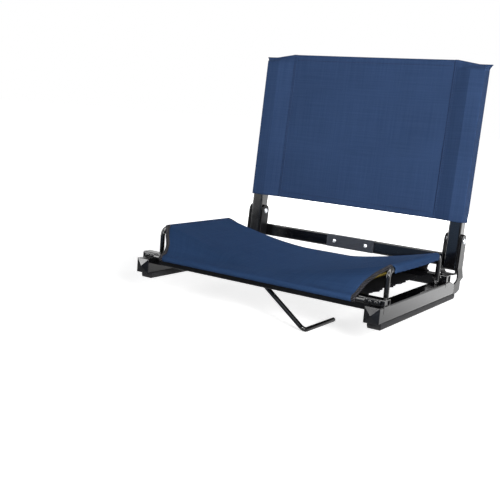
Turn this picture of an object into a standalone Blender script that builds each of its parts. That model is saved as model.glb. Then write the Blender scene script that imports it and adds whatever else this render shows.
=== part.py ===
"""Folding stadium chair that sits on a bleacher board.

Metres, +Z up. The chair faces -Y, X is to the sitter's left, as seen in the front view
to the right. Y is 0 at the front ends of the two rails and Z is 0 under the rubber feet,
where the board is. Run it in Blender: it builds one object for each piece.
"""
import math

import bmesh
import bpy
import numpy as np
from mathutils import Matrix, Vector

# Overall frame
SEAT_WIDTH = 0.470          # across the outer faces of the two rails
RAIL_SIZE = 0.0254          # square tube, 1 in
RAIL_WALL = 0.0016
RAIL_CORNER = 0.003
RAIL_LENGTH = 0.332
RAIL_TOP_CUT = 0.035        # length over which the top wall is cut away at the rear
RAIL_SIDE_CUT = 0.014       # length over which the outer wall gives way to the bracket arm
RAIL_TAIL_HEIGHT = 0.018    # height of what is left of the rail behind that cut
PLUG_APEX = 0.0045
PLUG_NECK = 0.016

# Rubber feet under the rails
FOOT_HEIGHT = 0.010
FOOT_TOP_WIDTH = 0.0229
FOOT_BASE_WIDTH = 0.0205
FOOT_FRONT = 0.012
FOOT_BACK_INSET = 0.002     # its end before the rail's
FOOT_FLARE = 0.0035         # height over which it widens from its base

# Square tubes that cross from rail to rail, notched over both
CROSS_SIZE = 0.020
CROSS_WALL = 0.0016
CROSS_CORNER = 0.002
FRONT_BAR_Y = 0.0143        # front face of the front tube
FRONT_BAR_RISE = 0.0100     # its top over the rails
REAR_BAR_INSET = 0.0380     # rear face of the rear tube before the rail's end
REAR_BAR_RISE = 0.0135

# Rods in the front and rear hems of the sling, with flattened and riveted ends
HEM_ROD = 0.008
HEM_ROD_DROP = 0.0048       # centre of the rod below the top of its tube
HEM_ROD_INSET = 0.030       # its round part ends this far inside the rails' outer faces
HEM_TAB_INSET = 0.006
HEM_TAB_THICKNESS = 0.004
HEM_TAB_HEIGHT = 0.009
HEM_TAB_CORNER = 0.003
HEM_TAB_LAP = 0.004         # how far the flat tab runs into the round rod
HEM_RIVET_INSETS = (0.0225, 0.0125)
RIVET_SHANK = 0.004
RIVET_HEAD = 0.0068
RIVET_HEAD_HEIGHT = 0.0019
RIVET_TAIL = 0.0054         # formed end of a blind rivet inside a tube
RIVET_TAIL_HEIGHT = 0.001
RIVET_DOME = (0, 30, 60, 85)    # degrees from its top
RIVET_STEPS = 10
HOLE_STEPS = 12

# Bent rods over the rails that hold up the sides of the sling
ARCH_ROD = 0.0085
ARCH_INSET = 0.0140         # its centre inside the rail's outer face
ARCH_BEHIND_BAR = 0.0147    # its front leg behind the front tube
ARCH_BEFORE_BAR = 0.0100    # its rear leg before the rear tube
ARCH_HEIGHT = 0.0855        # centre of its level run over the board
ARCH_BEND = 0.012
ARCH_TOE = 0.0096           # flattened toe in front of each leg
ARCH_TOE_THICKNESS = 0.003
ARCH_TOE_WIDTH = 0.009
ARCH_TOE_CORNER = 0.004
ARCH_RIVET_HEAD = 0.0084
ARCH_RIVET_HEIGHT = 0.0036

# Fabric seat. Its cut corners are given as a share of its edge, then steps in X, Y and Z
# from the nearest corner of a hem or an arch.
SLING_CLOTH = 0.0013
SLING_FRONT_INSET = 0.048   # end of the front hem inside the rail's outer face
SLING_REAR_INSET = 0.047
SLING_SIDE_REACHES = 0.013  # where the cloth reaches the level run of the arch, behind its front leg
SLING_SIDE_LEAVES = 0.014   # where it leaves it, before the rear leg
SLING_SKIRT = 0.006         # cloth that hangs outside the arch
SLING_LEAVES = math.radians(22)     # how far the cloth wraps the inner side of the arch
SLING_FROM_FRONT_HEM = ((0.05, 0.0, 0.007, 0.008), (0.10, 0.002, 0.014, 0.018))
SLING_TO_FRONT_ARCH = ((0.155, -0.017, -0.023, -0.010), (0.20, -0.006, -0.012, -0.003))
SLING_FROM_REAR_ARCH = ((0.845, -0.007, 0.011, -0.003), (0.90, -0.017, 0.022, -0.012))
SLING_TO_REAR_HEM = ((0.96, 0.001, -0.009, 0.012),)
SLING_HELD = (0.24, 0.80)   # shares of the edge that lie on the arch
SLING_SHARES = (0.0, 0.05, 0.10, 0.155, 0.20, 0.24, 0.34, 0.44, 0.54, 0.64, 0.72, 0.80, 0.845, 0.90, 0.96, 1.0)
SLING_ACROSS = 16
SLING_ROLL_TURNS = (8, 45, 82, 119, 152, 176)   # degrees round a hem rod
SLING_WRAP_TURNS = (5, 33, 61, 90)              # degrees round the outer side of an arch
SLING_RELAX_STEPS = 1500
BINDING_SIZE = 0.0044
BINDING_SHARES = {"front": (0.01, 0.195), "rear": (0.85, 0.985)}
BINDING_POINTS = 9

# Coil springs under the seat
SPRING_PLACES = (-0.150, -0.050, 0.050, 0.150)
SPRING_WIRE = 0.0016
SPRING_OUTER = 0.0085
SPRING_CURLS = 13
SPRING_PITCH = 0.0090
SPRING_POINTS = 7           # points a curl
SPRING_SIDES = 1            # bevel resolution of the wire
SPRING_HOLE_INSET = 0.0045  # from the inner face of the tube that holds it
SPRING_HOOK_REACH = 0.0015  # of its hooked end below the tube's wall
SPRING_HOOK_BEND = 0.0016
SPRING_TAPER = 3            # points over which the coil grows from its axis

# Backrest: lean, hinge and uprights
LEAN = math.radians(4.5)
PIVOT_BEHIND = 0.0230       # the hinge pin behind the rail's end
PIVOT_Z = 0.1030
PIN = 0.0064
PIN_HEAD = 0.0105
PIN_HEAD_HEIGHT = 0.0028
PIN_STEPS = 16
UPRIGHT_SIZE = 0.024
UPRIGHT_WALL = 0.0015
UPRIGHT_CORNER = 0.003
UPRIGHT_INSET = 0.0208      # its centre inside the rail's outer face
UPRIGHT_BELOW = 0.0555      # below the pivot
UPRIGHT_ABOVE = 0.3040      # above the pivot
UPRIGHT_END_ROUND = 0.005
CAP_HEIGHT = 0.0025
CAP_NECK = 0.014

# Hinge brackets: a bent strap round the foot of the upright, and an arm down to the rail
STRAP = 0.0020
STRAP_BEND = 0.0065
STRAP_BEND_STEPS = 5
WASHER = 0.0020
WASHER_SIZE = 0.016
ARM = 0.0025
ARM_BEND_LOW = 0.036
ARM_BEND_HIGH = 0.053
ARM_FILLET = 0.018
ARM_BEHIND = 0.016          # its lower tail behind the rail's end
ARM_HEEL_HEIGHT = 0.0145
ARM_HEEL_CUT = 0.014        # slanted lower rear corner
ARM_RISE = 0.002            # of its edge over the end of the rail
ARM_FLARE = 0.001           # of the tail at its widest

# Stop bar behind the uprights, in two halves with splice plates
STOP_HEIGHT = 0.0243
STOP_DEPTH = 0.0100
STOP_WALL = 0.0015
STOP_CORNER = 0.0025
STOP_BELOW = 0.0395         # its centre below the pivot
STOP_INSET = 0.0065         # its end inside the rail's outer face
SPLICE_HALF = 0.0515
SPLICE_THICKNESS = 0.0020
SPLICE_CORNER = 0.0015
SPLICE_RIVET_X = 0.0345
SPLICE_RIVET_HEAD = 0.0072

# Fabric back: a panel between two sleeves that go over the uprights
COVER_CLOTH = 0.0012
COVER_SEAM_INSET = 0.0630   # inside the rail's outer face
COVER_LAP = 0.0062          # width of the sleeve's two edges on the panel
COVER_BOTTOM = 0.0330       # above the pivot
COVER_TOP = 0.3240
COVER_EAR_OUT = 0.0020      # tip of the flat sewn top outside the rail's outer face
COVER_EAR_DROP = 0.0070     # how far the tip is below the panel's top edge
COVER_EAR_LOW = 0.3085      # where the sleeve starts to close
COVER_FLAT = 0.0015         # half depth of the closed top
COVER_EASE = 0.0007         # slack between sleeve and upright
COVER_CROWN = 0.0006        # rise of the cloth across the face of the upright
COVER_FOLD = 0.0020         # width of the fold at the upright's outer edge
COVER_BOW = 0.0020          # how far the panel gives in its middle
COVER_ACROSS = 16
COVER_CLOSING = (0.35, 0.7, 1.0)    # rows of the closing top, as shares of its height

# Hook behind the front tube
HOOK_ROD = 0.008
HOOK_BELOW_BAR = 0.0137     # pivot below the top of the front tube
HOOK_ARM = 0.1130
HOOK_TOE = 0.1020
HOOK_BEND = 0.0085
HOOK_ANGLE = math.radians(53.5)
LUG_THICKNESS = 0.0025
LUG_WIDTH = 0.022
RETAINER_SIZE = 0.015
RETAINER_THICKNESS = 0.0025
HOOK_STUB_END = 0.002       # of the rod beyond its retainer
LUG_LIP = 0.006             # of the bracket below the rod

# Fits
GAP = 0.0003                # between pieces that touch
RUN = 0.0004                # between pieces that turn

HALF_WIDTH = SEAT_WIDTH / 2
RAIL_X = HALF_WIDTH - RAIL_SIZE / 2
RAIL_TOP_END = RAIL_LENGTH - RAIL_TOP_CUT
RAIL_SIDE_END = RAIL_LENGTH - RAIL_SIDE_CUT
FOOT_BACK = RAIL_LENGTH - FOOT_BACK_INSET
REAR_BAR_Y = RAIL_LENGTH - REAR_BAR_INSET
HEM_ROD_HALF = HALF_WIDTH - HEM_ROD_INSET
HEM_TAB_END = HALF_WIDTH - HEM_TAB_INSET
HEM_RIVETS = tuple(HALF_WIDTH - inset for inset in HEM_RIVET_INSETS)
ARCH_X = HALF_WIDTH - ARCH_INSET
ARCH_FRONT = FRONT_BAR_Y + CROSS_SIZE + ARCH_BEHIND_BAR
ARCH_REAR = REAR_BAR_Y - CROSS_SIZE - ARCH_BEFORE_BAR
SLING_FRONT_HALF = HALF_WIDTH - SLING_FRONT_INSET
SLING_REAR_HALF = HALF_WIDTH - SLING_REAR_INSET
SLING_SIDE_FRONT = ARCH_FRONT + SLING_SIDE_REACHES
SLING_SIDE_REAR = ARCH_REAR - SLING_SIDE_LEAVES
PIVOT_Y = RAIL_LENGTH + PIVOT_BEHIND
UPRIGHT_X = HALF_WIDTH - UPRIGHT_INSET
ARM_TAIL = RAIL_LENGTH + ARM_BEHIND
STOP_HALF = HALF_WIDTH - STOP_INSET
COVER_SEAM_X = HALF_WIDTH - COVER_SEAM_INSET
COVER_EAR_X = HALF_WIDTH + COVER_EAR_OUT
RAIL_BASE = FOOT_HEIGHT + GAP
RAIL_TOP = RAIL_BASE + RAIL_SIZE
FRONT_BAR_TOP = RAIL_TOP + FRONT_BAR_RISE
REAR_BAR_TOP = RAIL_TOP + REAR_BAR_RISE
UPRIGHT_HALF = UPRIGHT_SIZE / 2
EAR_X = UPRIGHT_X - UPRIGHT_HALF - GAP - WASHER - GAP - STRAP
FLANGE_X = UPRIGHT_X + UPRIGHT_HALF + GAP + STRAP
ARM_X = FLANGE_X + GAP + ARM
SWING = math.hypot(UPRIGHT_HALF - UPRIGHT_END_ROUND, UPRIGHT_BELOW)
WEB_DEPTH = max(SWING, UPRIGHT_BELOW) + STRAP_BEND - STRAP / 2 + RUN
HOOK_Z = FRONT_BAR_TOP - HOOK_BELOW_BAR
HOOK_Y = FRONT_BAR_Y + CROSS_SIZE + RUN + HOOK_ROD / 2


def clear_scene():
    for item in list(bpy.data.objects):
        bpy.data.objects.remove(item, do_unlink=True)


def new_collection(name):
    group = bpy.data.collections.new(name)
    bpy.context.scene.collection.children.link(group)
    return group


def material(name, finish):
    colour, metallic, roughness = finish
    made = bpy.data.materials.new(name)
    made.use_nodes = True
    shader = made.node_tree.nodes["Principled BSDF"]
    shader.inputs["Base Color"].default_value = (*colour, 1.0)
    shader.inputs["Metallic"].default_value = metallic
    shader.inputs["Roughness"].default_value = roughness
    made.diffuse_color = (*colour, 1.0)
    return made


clear_scene()
PARTS = new_collection("stadium_chair")
CUTTERS = new_collection("cutters")
FRAMES = new_collection("axes")

# Finishes: linear colour, metallic share and roughness
POWDER_COAT = ((0.012, 0.012, 0.013), 0.3, 0.32)
ZINC = ((0.62, 0.63, 0.66), 1.0, 0.25)
YELLOW_ZINC = ((0.30, 0.235, 0.060), 1.0, 0.35)
RUBBER = ((0.030, 0.030, 0.030), 0.0, 0.7)
MOULDED_BLACK = ((0.015, 0.015, 0.017), 0.0, 0.4)
NAVY = ((0.038, 0.083, 0.162), 0.0, 0.85)
CHARCOAL = ((0.026, 0.025, 0.030), 0.0, 0.9)


# Making and placing objects

def keep(name, data, finish, parent=None):
    """Put a named piece in the chair's collection, with a material of its own."""
    piece = bpy.data.objects.new(name, data)
    PARTS.objects.link(piece)
    data.materials.clear()
    data.materials.append(material(name + "_finish", finish))
    piece.parent = parent
    return piece


def cutter(name, data, parent=None):
    tool = bpy.data.objects.new(name, data)
    CUTTERS.objects.link(tool)
    tool.display_type = "WIRE"
    tool.hide_render = True
    tool.parent = parent
    return tool


def axis_frame(name, place, turn=(0.0, 0.0, 0.0)):
    frame = bpy.data.objects.new(name, None)
    FRAMES.objects.link(frame)
    frame.empty_display_size = 0.03
    frame.location = place
    frame.rotation_euler = turn
    return frame


def boolean(piece, tool, operation="DIFFERENCE"):
    step = piece.modifiers.new(operation.lower() + "_" + tool.name, "BOOLEAN")
    step.operation = operation
    step.solver = "EXACT"
    step.object = tool
    return step


def smooth(piece, angle=math.radians(35)):
    piece.data.shade_smooth()
    piece.data.set_sharp_from_angle(angle=angle)
    return piece


# Outlines in a plane

def arc(centre, radius, start, end, steps):
    """Points on an arc, angles in degrees, both ends included."""
    turns = [math.radians(start + (end - start) * step / steps) for step in range(steps + 1)]
    return [(centre[0] + radius * math.cos(turn), centre[1] + radius * math.sin(turn)) for turn in turns]


def rounded_box(width, height, corner, steps=3):
    x, y = width / 2 - corner, height / 2 - corner
    points = []
    for centre, start in (((x, y), 0), ((-x, y), 90), ((-x, -y), 180), ((x, -y), 270)):
        points += arc(centre, corner, start, start + 90, steps)
    return points


def circle(centre, diameter, steps=16):
    return arc(centre, diameter / 2, 0, 360, steps)[:-1]


def face_out(shape):
    """Point all faces of a closed shape outward."""
    bmesh.ops.recalc_face_normals(shape, faces=shape.faces)
    if shape.calc_volume(signed=True) < 0.0:
        bmesh.ops.reverse_faces(shape, faces=shape.faces)


def curve_mesh(data):
    """Turn a curve into a mesh whose caps are welded to its sides."""
    carrier = bpy.data.objects.new("carrier", data)
    CUTTERS.objects.link(carrier)
    view = bpy.context.evaluated_depsgraph_get()
    mesh = bpy.data.meshes.new_from_object(carrier.evaluated_get(view))
    bpy.data.objects.remove(carrier, do_unlink=True)
    bpy.data.curves.remove(data)
    shape = bmesh.new()
    shape.from_mesh(mesh)
    bmesh.ops.remove_doubles(shape, verts=shape.verts, dist=1e-6)
    face_out(shape)
    shape.to_mesh(mesh)
    shape.free()
    return mesh


def plate_mesh(outlines, thickness):
    """A flat plate: the first outline is its edge, the others are its holes."""
    data = bpy.data.curves.new("plate", "CURVE")
    data.dimensions = "2D"
    data.fill_mode = "BOTH"
    data.extrude = thickness / 2
    data.render_resolution_u = 0
    for outline in outlines:
        spline = data.splines.new("POLY")
        spline.points.add(len(outline) - 1)
        for point, (x, y) in zip(spline.points, outline):
            point.co = (x, y, 0.0, 1.0)
        spline.use_cyclic_u = True
    return curve_mesh(data)


def rounded_path(points, bend, steps=5):
    """A path of straight runs, with each inner corner turned into an arc."""
    path = [Vector(points[0])]
    for before, corner, after in zip(points, points[1:], points[2:]):
        before, corner, after = Vector(before), Vector(corner), Vector(after)
        back, on = (before - corner).normalized(), (after - corner).normalized()
        half = back.angle(on) / 2
        reach = bend / math.tan(half)
        centre = corner + (back + on).normalized() * bend / math.sin(half)
        first, last = corner + back * reach - centre, corner + on * reach - centre
        span = first.angle(last)
        for step in range(steps + 1):
            share = step / steps
            spoke = (first * math.sin((1 - share) * span) + last * math.sin(share * span)) / math.sin(span)
            path.append(centre + spoke)
    path.append(Vector(points[-1]))
    return path


def rod_mesh(points, diameter, sides=4):
    data = bpy.data.curves.new("rod", "CURVE")
    data.dimensions = "3D"
    data.bevel_depth = diameter / 2
    data.bevel_resolution = sides
    data.use_fill_caps = True
    data.render_resolution_u = 0
    spline = data.splines.new("POLY")
    spline.points.add(len(points) - 1)
    for place, point in zip(spline.points, points):
        place.co = (*point, 1.0)
    return curve_mesh(data)


def turned(name, profile, finish, steps, parent=None):
    """A turned piece: its profile runs down the outer side, from top to bottom, about Z."""
    mesh = bpy.data.meshes.new(name)
    mesh.from_pydata([(radius, 0.0, height) for radius, height in profile],
                     [(at, at + 1) for at in range(len(profile) - 1)], [])
    piece = keep(name, mesh, finish, parent)
    spin = piece.modifiers.new("turn", "SCREW")
    spin.steps = spin.render_steps = steps
    spin.use_merge_vertices = True
    spin.merge_threshold = 0.00002
    return piece


def rivet_profile(shank, head, head_height, grip, tail=None):
    """Domed rivet along Z: head on top, grip under it, then a like head or a smaller tail."""
    dome = [(head / 2 * math.sin(math.radians(turn)), grip / 2 + head_height * math.cos(math.radians(turn)))
            for turn in RIVET_DOME]
    upper = dome + [(head / 2, grip / 2), (shank / 2, grip / 2)]
    if tail is None:
        return upper + [(radius, -height) for radius, height in reversed(upper)]
    low = -grip / 2
    return upper + [(shank / 2, low), (tail / 2, low), (tail / 2, low - RIVET_TAIL_HEIGHT),
                    (0.0, low - RIVET_TAIL_HEIGHT)]


def box_mesh(size, centre):
    shape = bmesh.new()
    bmesh.ops.create_cube(shape, size=1.0)
    bmesh.ops.scale(shape, vec=size, verts=shape.verts)
    bmesh.ops.translate(shape, vec=centre, verts=shape.verts)
    mesh = bpy.data.meshes.new("box")
    shape.to_mesh(mesh)
    shape.free()
    return mesh


ALONG_X = Matrix(((0, 0, 1), (1, 0, 0), (0, 1, 0))).to_4x4()    # an outline in YZ, thickness along X
ALONG_Y = Matrix(((1, 0, 0), (0, 0, 1), (0, 1, 0))).to_4x4()    # an outline in XZ, thickness along Y
SIDES = (("left", -1), ("right", 1))


def stand(mesh, turn, place=(0.0, 0.0, 0.0)):
    """Turn and move a mesh's points, and keep its faces pointing out."""
    mesh.transform(Matrix.Translation(place) @ turn)
    if turn.determinant() < 0:
        mesh.flip_normals()
    return mesh


# Rails, their front plugs and the rubber feet

def rail(side, sign):
    tube = plate_mesh([rounded_box(RAIL_SIZE, RAIL_SIZE, RAIL_CORNER),
                       rounded_box(RAIL_SIZE - 2 * RAIL_WALL, RAIL_SIZE - 2 * RAIL_WALL,
                                   RAIL_CORNER - RAIL_WALL)], RAIL_LENGTH)
    stand(tube, ALONG_Y, (sign * RAIL_X, RAIL_LENGTH / 2, RAIL_BASE + RAIL_SIZE / 2))
    piece = keep(side + "_rail", tube, POWDER_COAT)
    beyond = 0.01
    tail_top = RAIL_BASE + RAIL_TAIL_HEIGHT
    notch = [(RAIL_TOP_END, RAIL_TOP), (RAIL_TOP_END, RAIL_TOP + beyond),
             (RAIL_LENGTH + beyond, RAIL_TOP + beyond), (RAIL_LENGTH + beyond, tail_top),
             (RAIL_SIDE_END, tail_top)]
    tool = cutter(side + "_rail_notch", stand(plate_mesh([notch], RAIL_SIZE + beyond), ALONG_X,
                                              (sign * RAIL_X, 0.0, 0.0)))
    boolean(piece, tool)
    inner = SEAT_WIDTH / 2 - ARM - GAP
    width = ARM + GAP + beyond
    wall = box_mesh((width, RAIL_LENGTH + beyond - RAIL_SIDE_END, RAIL_SIZE + beyond),
                    (sign * (inner + width / 2), (RAIL_LENGTH + beyond + RAIL_SIDE_END) / 2,
                     RAIL_BASE + RAIL_SIZE / 2))
    boolean(piece, cutter(side + "_rail_wall_end", wall))
    for where, leg in (("front", ARCH_FRONT), ("rear", ARCH_REAR)):
        hole = plate_mesh([circle((sign * ARCH_X, leg - ARCH_TOE), RIVET_SHANK + 2 * GAP, HOLE_STEPS)],
                          4 * RAIL_WALL)
        hole.transform(Matrix.Translation((0.0, 0.0, RAIL_TOP)))
        boolean(piece, cutter("%s_rail_%s_rivet_hole" % (side, where), hole))
    return piece


def plug(side, sign):
    """Moulded plug with a pyramid face, pushed into the front of the rail."""
    shape = bmesh.new()
    face = RAIL_SIZE / 2
    turn = Matrix.Rotation(math.radians(90), 4, "X") @ Matrix.Rotation(math.radians(45), 4, "Z")
    bmesh.ops.create_cone(shape, segments=4, cap_ends=True, radius1=face * math.sqrt(2), radius2=0.0,
                          depth=PLUG_APEX, matrix=Matrix.Translation((0, -GAP - PLUG_APEX / 2, 0)) @ turn)
    mesh = bpy.data.meshes.new(side + "_plug")
    shape.to_mesh(mesh)
    shape.free()
    mesh.transform(Matrix.Translation((sign * RAIL_X, 0.0, RAIL_BASE + face)))
    piece = keep(side + "_plug", mesh, MOULDED_BLACK)
    neck = RAIL_SIZE - 2 * RAIL_WALL - 2 * GAP
    tongue = stand(plate_mesh([rounded_box(neck, neck, RAIL_CORNER - RAIL_WALL)], PLUG_NECK + 2 * GAP), ALONG_Y,
                   (sign * RAIL_X, PLUG_NECK / 2 - GAP, RAIL_BASE + face))
    boolean(piece, cutter(side + "_plug_neck", tongue), "UNION")
    return piece


def foot(side, sign):
    """Rubber strip, a little narrower where it stands on the board."""
    outline = [(-FOOT_BASE_WIDTH / 2, 0.0), (FOOT_BASE_WIDTH / 2, 0.0),
               (FOOT_TOP_WIDTH / 2, FOOT_FLARE), (FOOT_TOP_WIDTH / 2, FOOT_HEIGHT),
               (-FOOT_TOP_WIDTH / 2, FOOT_HEIGHT), (-FOOT_TOP_WIDTH / 2, FOOT_FLARE)]
    mesh = stand(plate_mesh([outline], FOOT_BACK - FOOT_FRONT), ALONG_Y,
                 (sign * RAIL_X, (FOOT_BACK + FOOT_FRONT) / 2, 0.0))
    return keep(side + "_foot", mesh, RUBBER)


# Cross tubes, hem rods and their rivets

def cross_bar(name, face_y, top, inward, rivet_depth):
    """Square tube from rail to rail. Both ends are notched to sit over the rails."""
    inside = CROSS_SIZE - 2 * CROSS_WALL
    mesh = stand(plate_mesh([rounded_box(CROSS_SIZE, CROSS_SIZE, CROSS_CORNER),
                             rounded_box(inside, inside, CROSS_CORNER - CROSS_WALL, 2)], SEAT_WIDTH),
                 ALONG_X, (0.0, face_y + inward * CROSS_SIZE / 2, top - CROSS_SIZE / 2))
    bar = keep(name, mesh, POWDER_COAT)
    beyond = 0.002
    height = CROSS_SIZE - (top - RAIL_TOP) + GAP + beyond
    width = RAIL_SIZE + GAP + beyond
    for side, sign in SIDES:
        block = box_mesh((width, 3 * CROSS_SIZE, height),
                         (sign * (RAIL_X - RAIL_SIZE / 2 - GAP + width / 2), face_y,
                          RAIL_TOP + GAP - height / 2))
        boolean(bar, cutter(name + "_" + side + "_notch", block))
        for number, place in enumerate(HEM_RIVETS, 1):
            hole = plate_mesh([circle((sign * place, top - HEM_ROD_DROP), RIVET_SHANK + 2 * GAP, HOLE_STEPS)],
                              rivet_depth + CROSS_WALL)
            stand(hole, ALONG_Y, (0.0, face_y + inward * rivet_depth / 2, 0.0))
            boolean(bar, cutter("%s_%s_rivet_hole_%d" % (name, side, number), hole))
    for number, place in enumerate(SPRING_PLACES, 1):
        hole = plate_mesh([circle((place, face_y + inward * (CROSS_SIZE - SPRING_HOLE_INSET)),
                                  SPRING_WIRE + 6 * GAP, HOLE_STEPS)], 4 * CROSS_WALL)
        hole.transform(Matrix.Translation((0.0, 0.0, top)))
        boolean(bar, cutter("%s_spring_hole_%d" % (name, number), hole))
    return bar


def hem_rod(name, face_y, top, inward):
    """Round rod along the outer face of its tube, with both ends flattened into tabs."""
    centre_y = face_y - inward * (GAP + HEM_ROD / 2)
    centre_z = top - HEM_ROD_DROP
    rod = rod_mesh([(-HEM_ROD_HALF, centre_y, centre_z), (HEM_ROD_HALF, centre_y, centre_z)], HEM_ROD, 4)
    piece = keep(name, rod, POWDER_COAT)
    tab_y = face_y - inward * (2 * GAP + HEM_TAB_THICKNESS / 2)
    for side, sign in SIDES:
        start = HEM_ROD_HALF - HEM_TAB_LAP
        outline = rounded_box(HEM_TAB_END - start, HEM_TAB_HEIGHT, HEM_TAB_CORNER)
        middle = sign * (HEM_TAB_END + start) / 2
        holes = [circle((sign * place - middle, 0.0), RIVET_SHANK + 2 * GAP, HOLE_STEPS)
                 for place in HEM_RIVETS]
        tab = stand(plate_mesh([outline] + holes, HEM_TAB_THICKNESS), ALONG_Y, (middle, tab_y, centre_z))
        boolean(piece, cutter(name + "_" + side + "_tab", tab), "UNION")
    return smooth(piece)


def hem_rivets(where, face_y, top, inward, depth, tail=None):
    """Rivets through the tabs of a hem rod and this depth of its tube."""
    grip = HEM_TAB_THICKNESS + depth + 4 * GAP
    middle = face_y + inward * (depth - HEM_TAB_THICKNESS - 2 * GAP) / 2
    for side, sign in SIDES:
        for number, place in enumerate(HEM_RIVETS, 1):
            rivet = turned("%s_%s_hem_rivet_%d" % (where, side, number),
                           rivet_profile(RIVET_SHANK, RIVET_HEAD, RIVET_HEAD_HEIGHT, grip, tail),
                           ZINC, RIVET_STEPS)
            rivet.rotation_euler = (inward * math.radians(90), 0.0, 0.0)
            rivet.location = (sign * place, middle, top - HEM_ROD_DROP)


# Arches over the rails

def arch(side, sign):
    """Bent rod with two legs, whose feet are flattened into toes and riveted to the rail."""
    level = RAIL_TOP + GAP + ARCH_TOE_THICKNESS / 2
    x = sign * ARCH_X
    path = rounded_path([(x, ARCH_FRONT, level), (x, ARCH_FRONT, ARCH_HEIGHT),
                         (x, ARCH_REAR, ARCH_HEIGHT), (x, ARCH_REAR, level)], ARCH_BEND)
    piece = keep(side + "_seat_arch", rod_mesh(path, ARCH_ROD, 3), POWDER_COAT)
    for where, leg in (("front", ARCH_FRONT), ("rear", ARCH_REAR)):
        length = ARCH_TOE + ARCH_ROD / 2 + ARCH_TOE_WIDTH / 2
        middle = leg + ARCH_ROD / 2 - length / 2
        outline = rounded_box(ARCH_TOE_WIDTH, length, ARCH_TOE_CORNER)
        hole = circle((0.0, leg - ARCH_TOE - middle), RIVET_SHANK + 2 * GAP, HOLE_STEPS)
        toe = plate_mesh([outline, hole], ARCH_TOE_THICKNESS)
        toe.transform(Matrix.Translation((x, middle, level)))
        boolean(piece, cutter(side + "_" + where + "_toe", toe), "UNION")
        grip = ARCH_TOE_THICKNESS + RAIL_WALL + 3 * GAP
        rivet = turned("%s_%s_arch_rivet" % (side, where),
                       rivet_profile(RIVET_SHANK, ARCH_RIVET_HEAD, ARCH_RIVET_HEIGHT, grip, RIVET_TAIL),
                       ZINC, RIVET_STEPS)
        rivet.location = (x, leg - ARCH_TOE, RAIL_TOP + GAP + ARCH_TOE_THICKNESS + GAP - grip / 2)
    smooth(piece)


# Hinge brackets

def leaned(y, z):
    """A point given from the pivot along the leaning upright, as Y and Z in the world."""
    return (PIVOT_Y + y * math.cos(LEAN) + z * math.sin(LEAN),
            PIVOT_Z - y * math.sin(LEAN) + z * math.cos(LEAN))


def arm(side, sign):
    """Flat arm from the rear of the rail up to the hinge, stepped inward above the rail."""
    tail_top = RAIL_BASE + RAIL_TAIL_HEIGHT
    edge_y = leaned(-UPRIGHT_HALF, -UPRIGHT_BELOW)[0]
    fillet = arc((edge_y - ARM_FILLET, tail_top + ARM_FILLET + ARM_RISE), ARM_FILLET, -80, -4, 5)
    ear = [leaned(y, z) for y, z in arc((0.0, 0.0), UPRIGHT_HALF, 180, 0, 10)]
    outline = ([(RAIL_SIDE_END + GAP, RAIL_BASE), (RAIL_SIDE_END + GAP, tail_top)] + fillet + ear
               + [leaned(UPRIGHT_HALF, ARM_BEND_LOW - PIVOT_Z), (ARM_TAIL + ARM_FLARE, tail_top + ARM_RISE),
                  (ARM_TAIL, ARM_HEEL_HEIGHT), (ARM_TAIL - ARM_HEEL_CUT, RAIL_BASE)])
    hole = circle((PIVOT_Y, PIVOT_Z), PIN + 2 * GAP)
    mesh = stand(plate_mesh([outline, hole], ARM), ALONG_X, (SEAT_WIDTH / 2 - ARM / 2, 0.0, 0.0))
    shape = bmesh.new()
    shape.from_mesh(mesh)
    for level in (ARM_BEND_LOW, ARM_BEND_HIGH):
        bmesh.ops.bisect_plane(shape, geom=list(shape.verts) + list(shape.edges) + list(shape.faces),
                               plane_co=(0.0, 0.0, level), plane_no=(0.0, 0.0, 1.0), dist=1e-7)
    step = SEAT_WIDTH / 2 - ARM_X
    for vert in shape.verts:
        share = (vert.co.z - ARM_BEND_LOW) / (ARM_BEND_HIGH - ARM_BEND_LOW)
        vert.co.x -= step * min(max(share, 0.0), 1.0)
        vert.co.x *= sign
    if sign < 0:
        bmesh.ops.reverse_faces(shape, faces=shape.faces)
    shape.to_mesh(mesh)
    shape.free()
    return keep(side + "_hinge_arm", mesh, POWDER_COAT)


def strap_path(length):
    """Centre line of the bent strap, from the top of its inner ear: place and way out."""
    inner, outer = EAR_X + STRAP / 2, FLANGE_X - STRAP / 2
    base, bend = -WEB_DEPTH - STRAP / 2, STRAP_BEND
    fall, run, turn = -base - bend, outer - inner - 2 * bend, bend * math.pi / 2
    if length < fall:
        return (inner, -length), (-1.0, 0.0)
    length -= fall
    if length < turn:
        angle = math.pi + length / bend
        return (inner + bend + bend * math.cos(angle), base + bend + bend * math.sin(angle)), \
            (math.cos(angle), math.sin(angle))
    length -= turn
    if length < run:
        return (inner + bend + length, base), (0.0, -1.0)
    length -= run
    if length < turn:
        angle = 1.5 * math.pi + length / bend
        return (outer - bend + bend * math.cos(angle), base + bend + bend * math.sin(angle)), \
            (math.cos(angle), math.sin(angle))
    return (outer, base + bend + length - turn), (1.0, 0.0)


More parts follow.
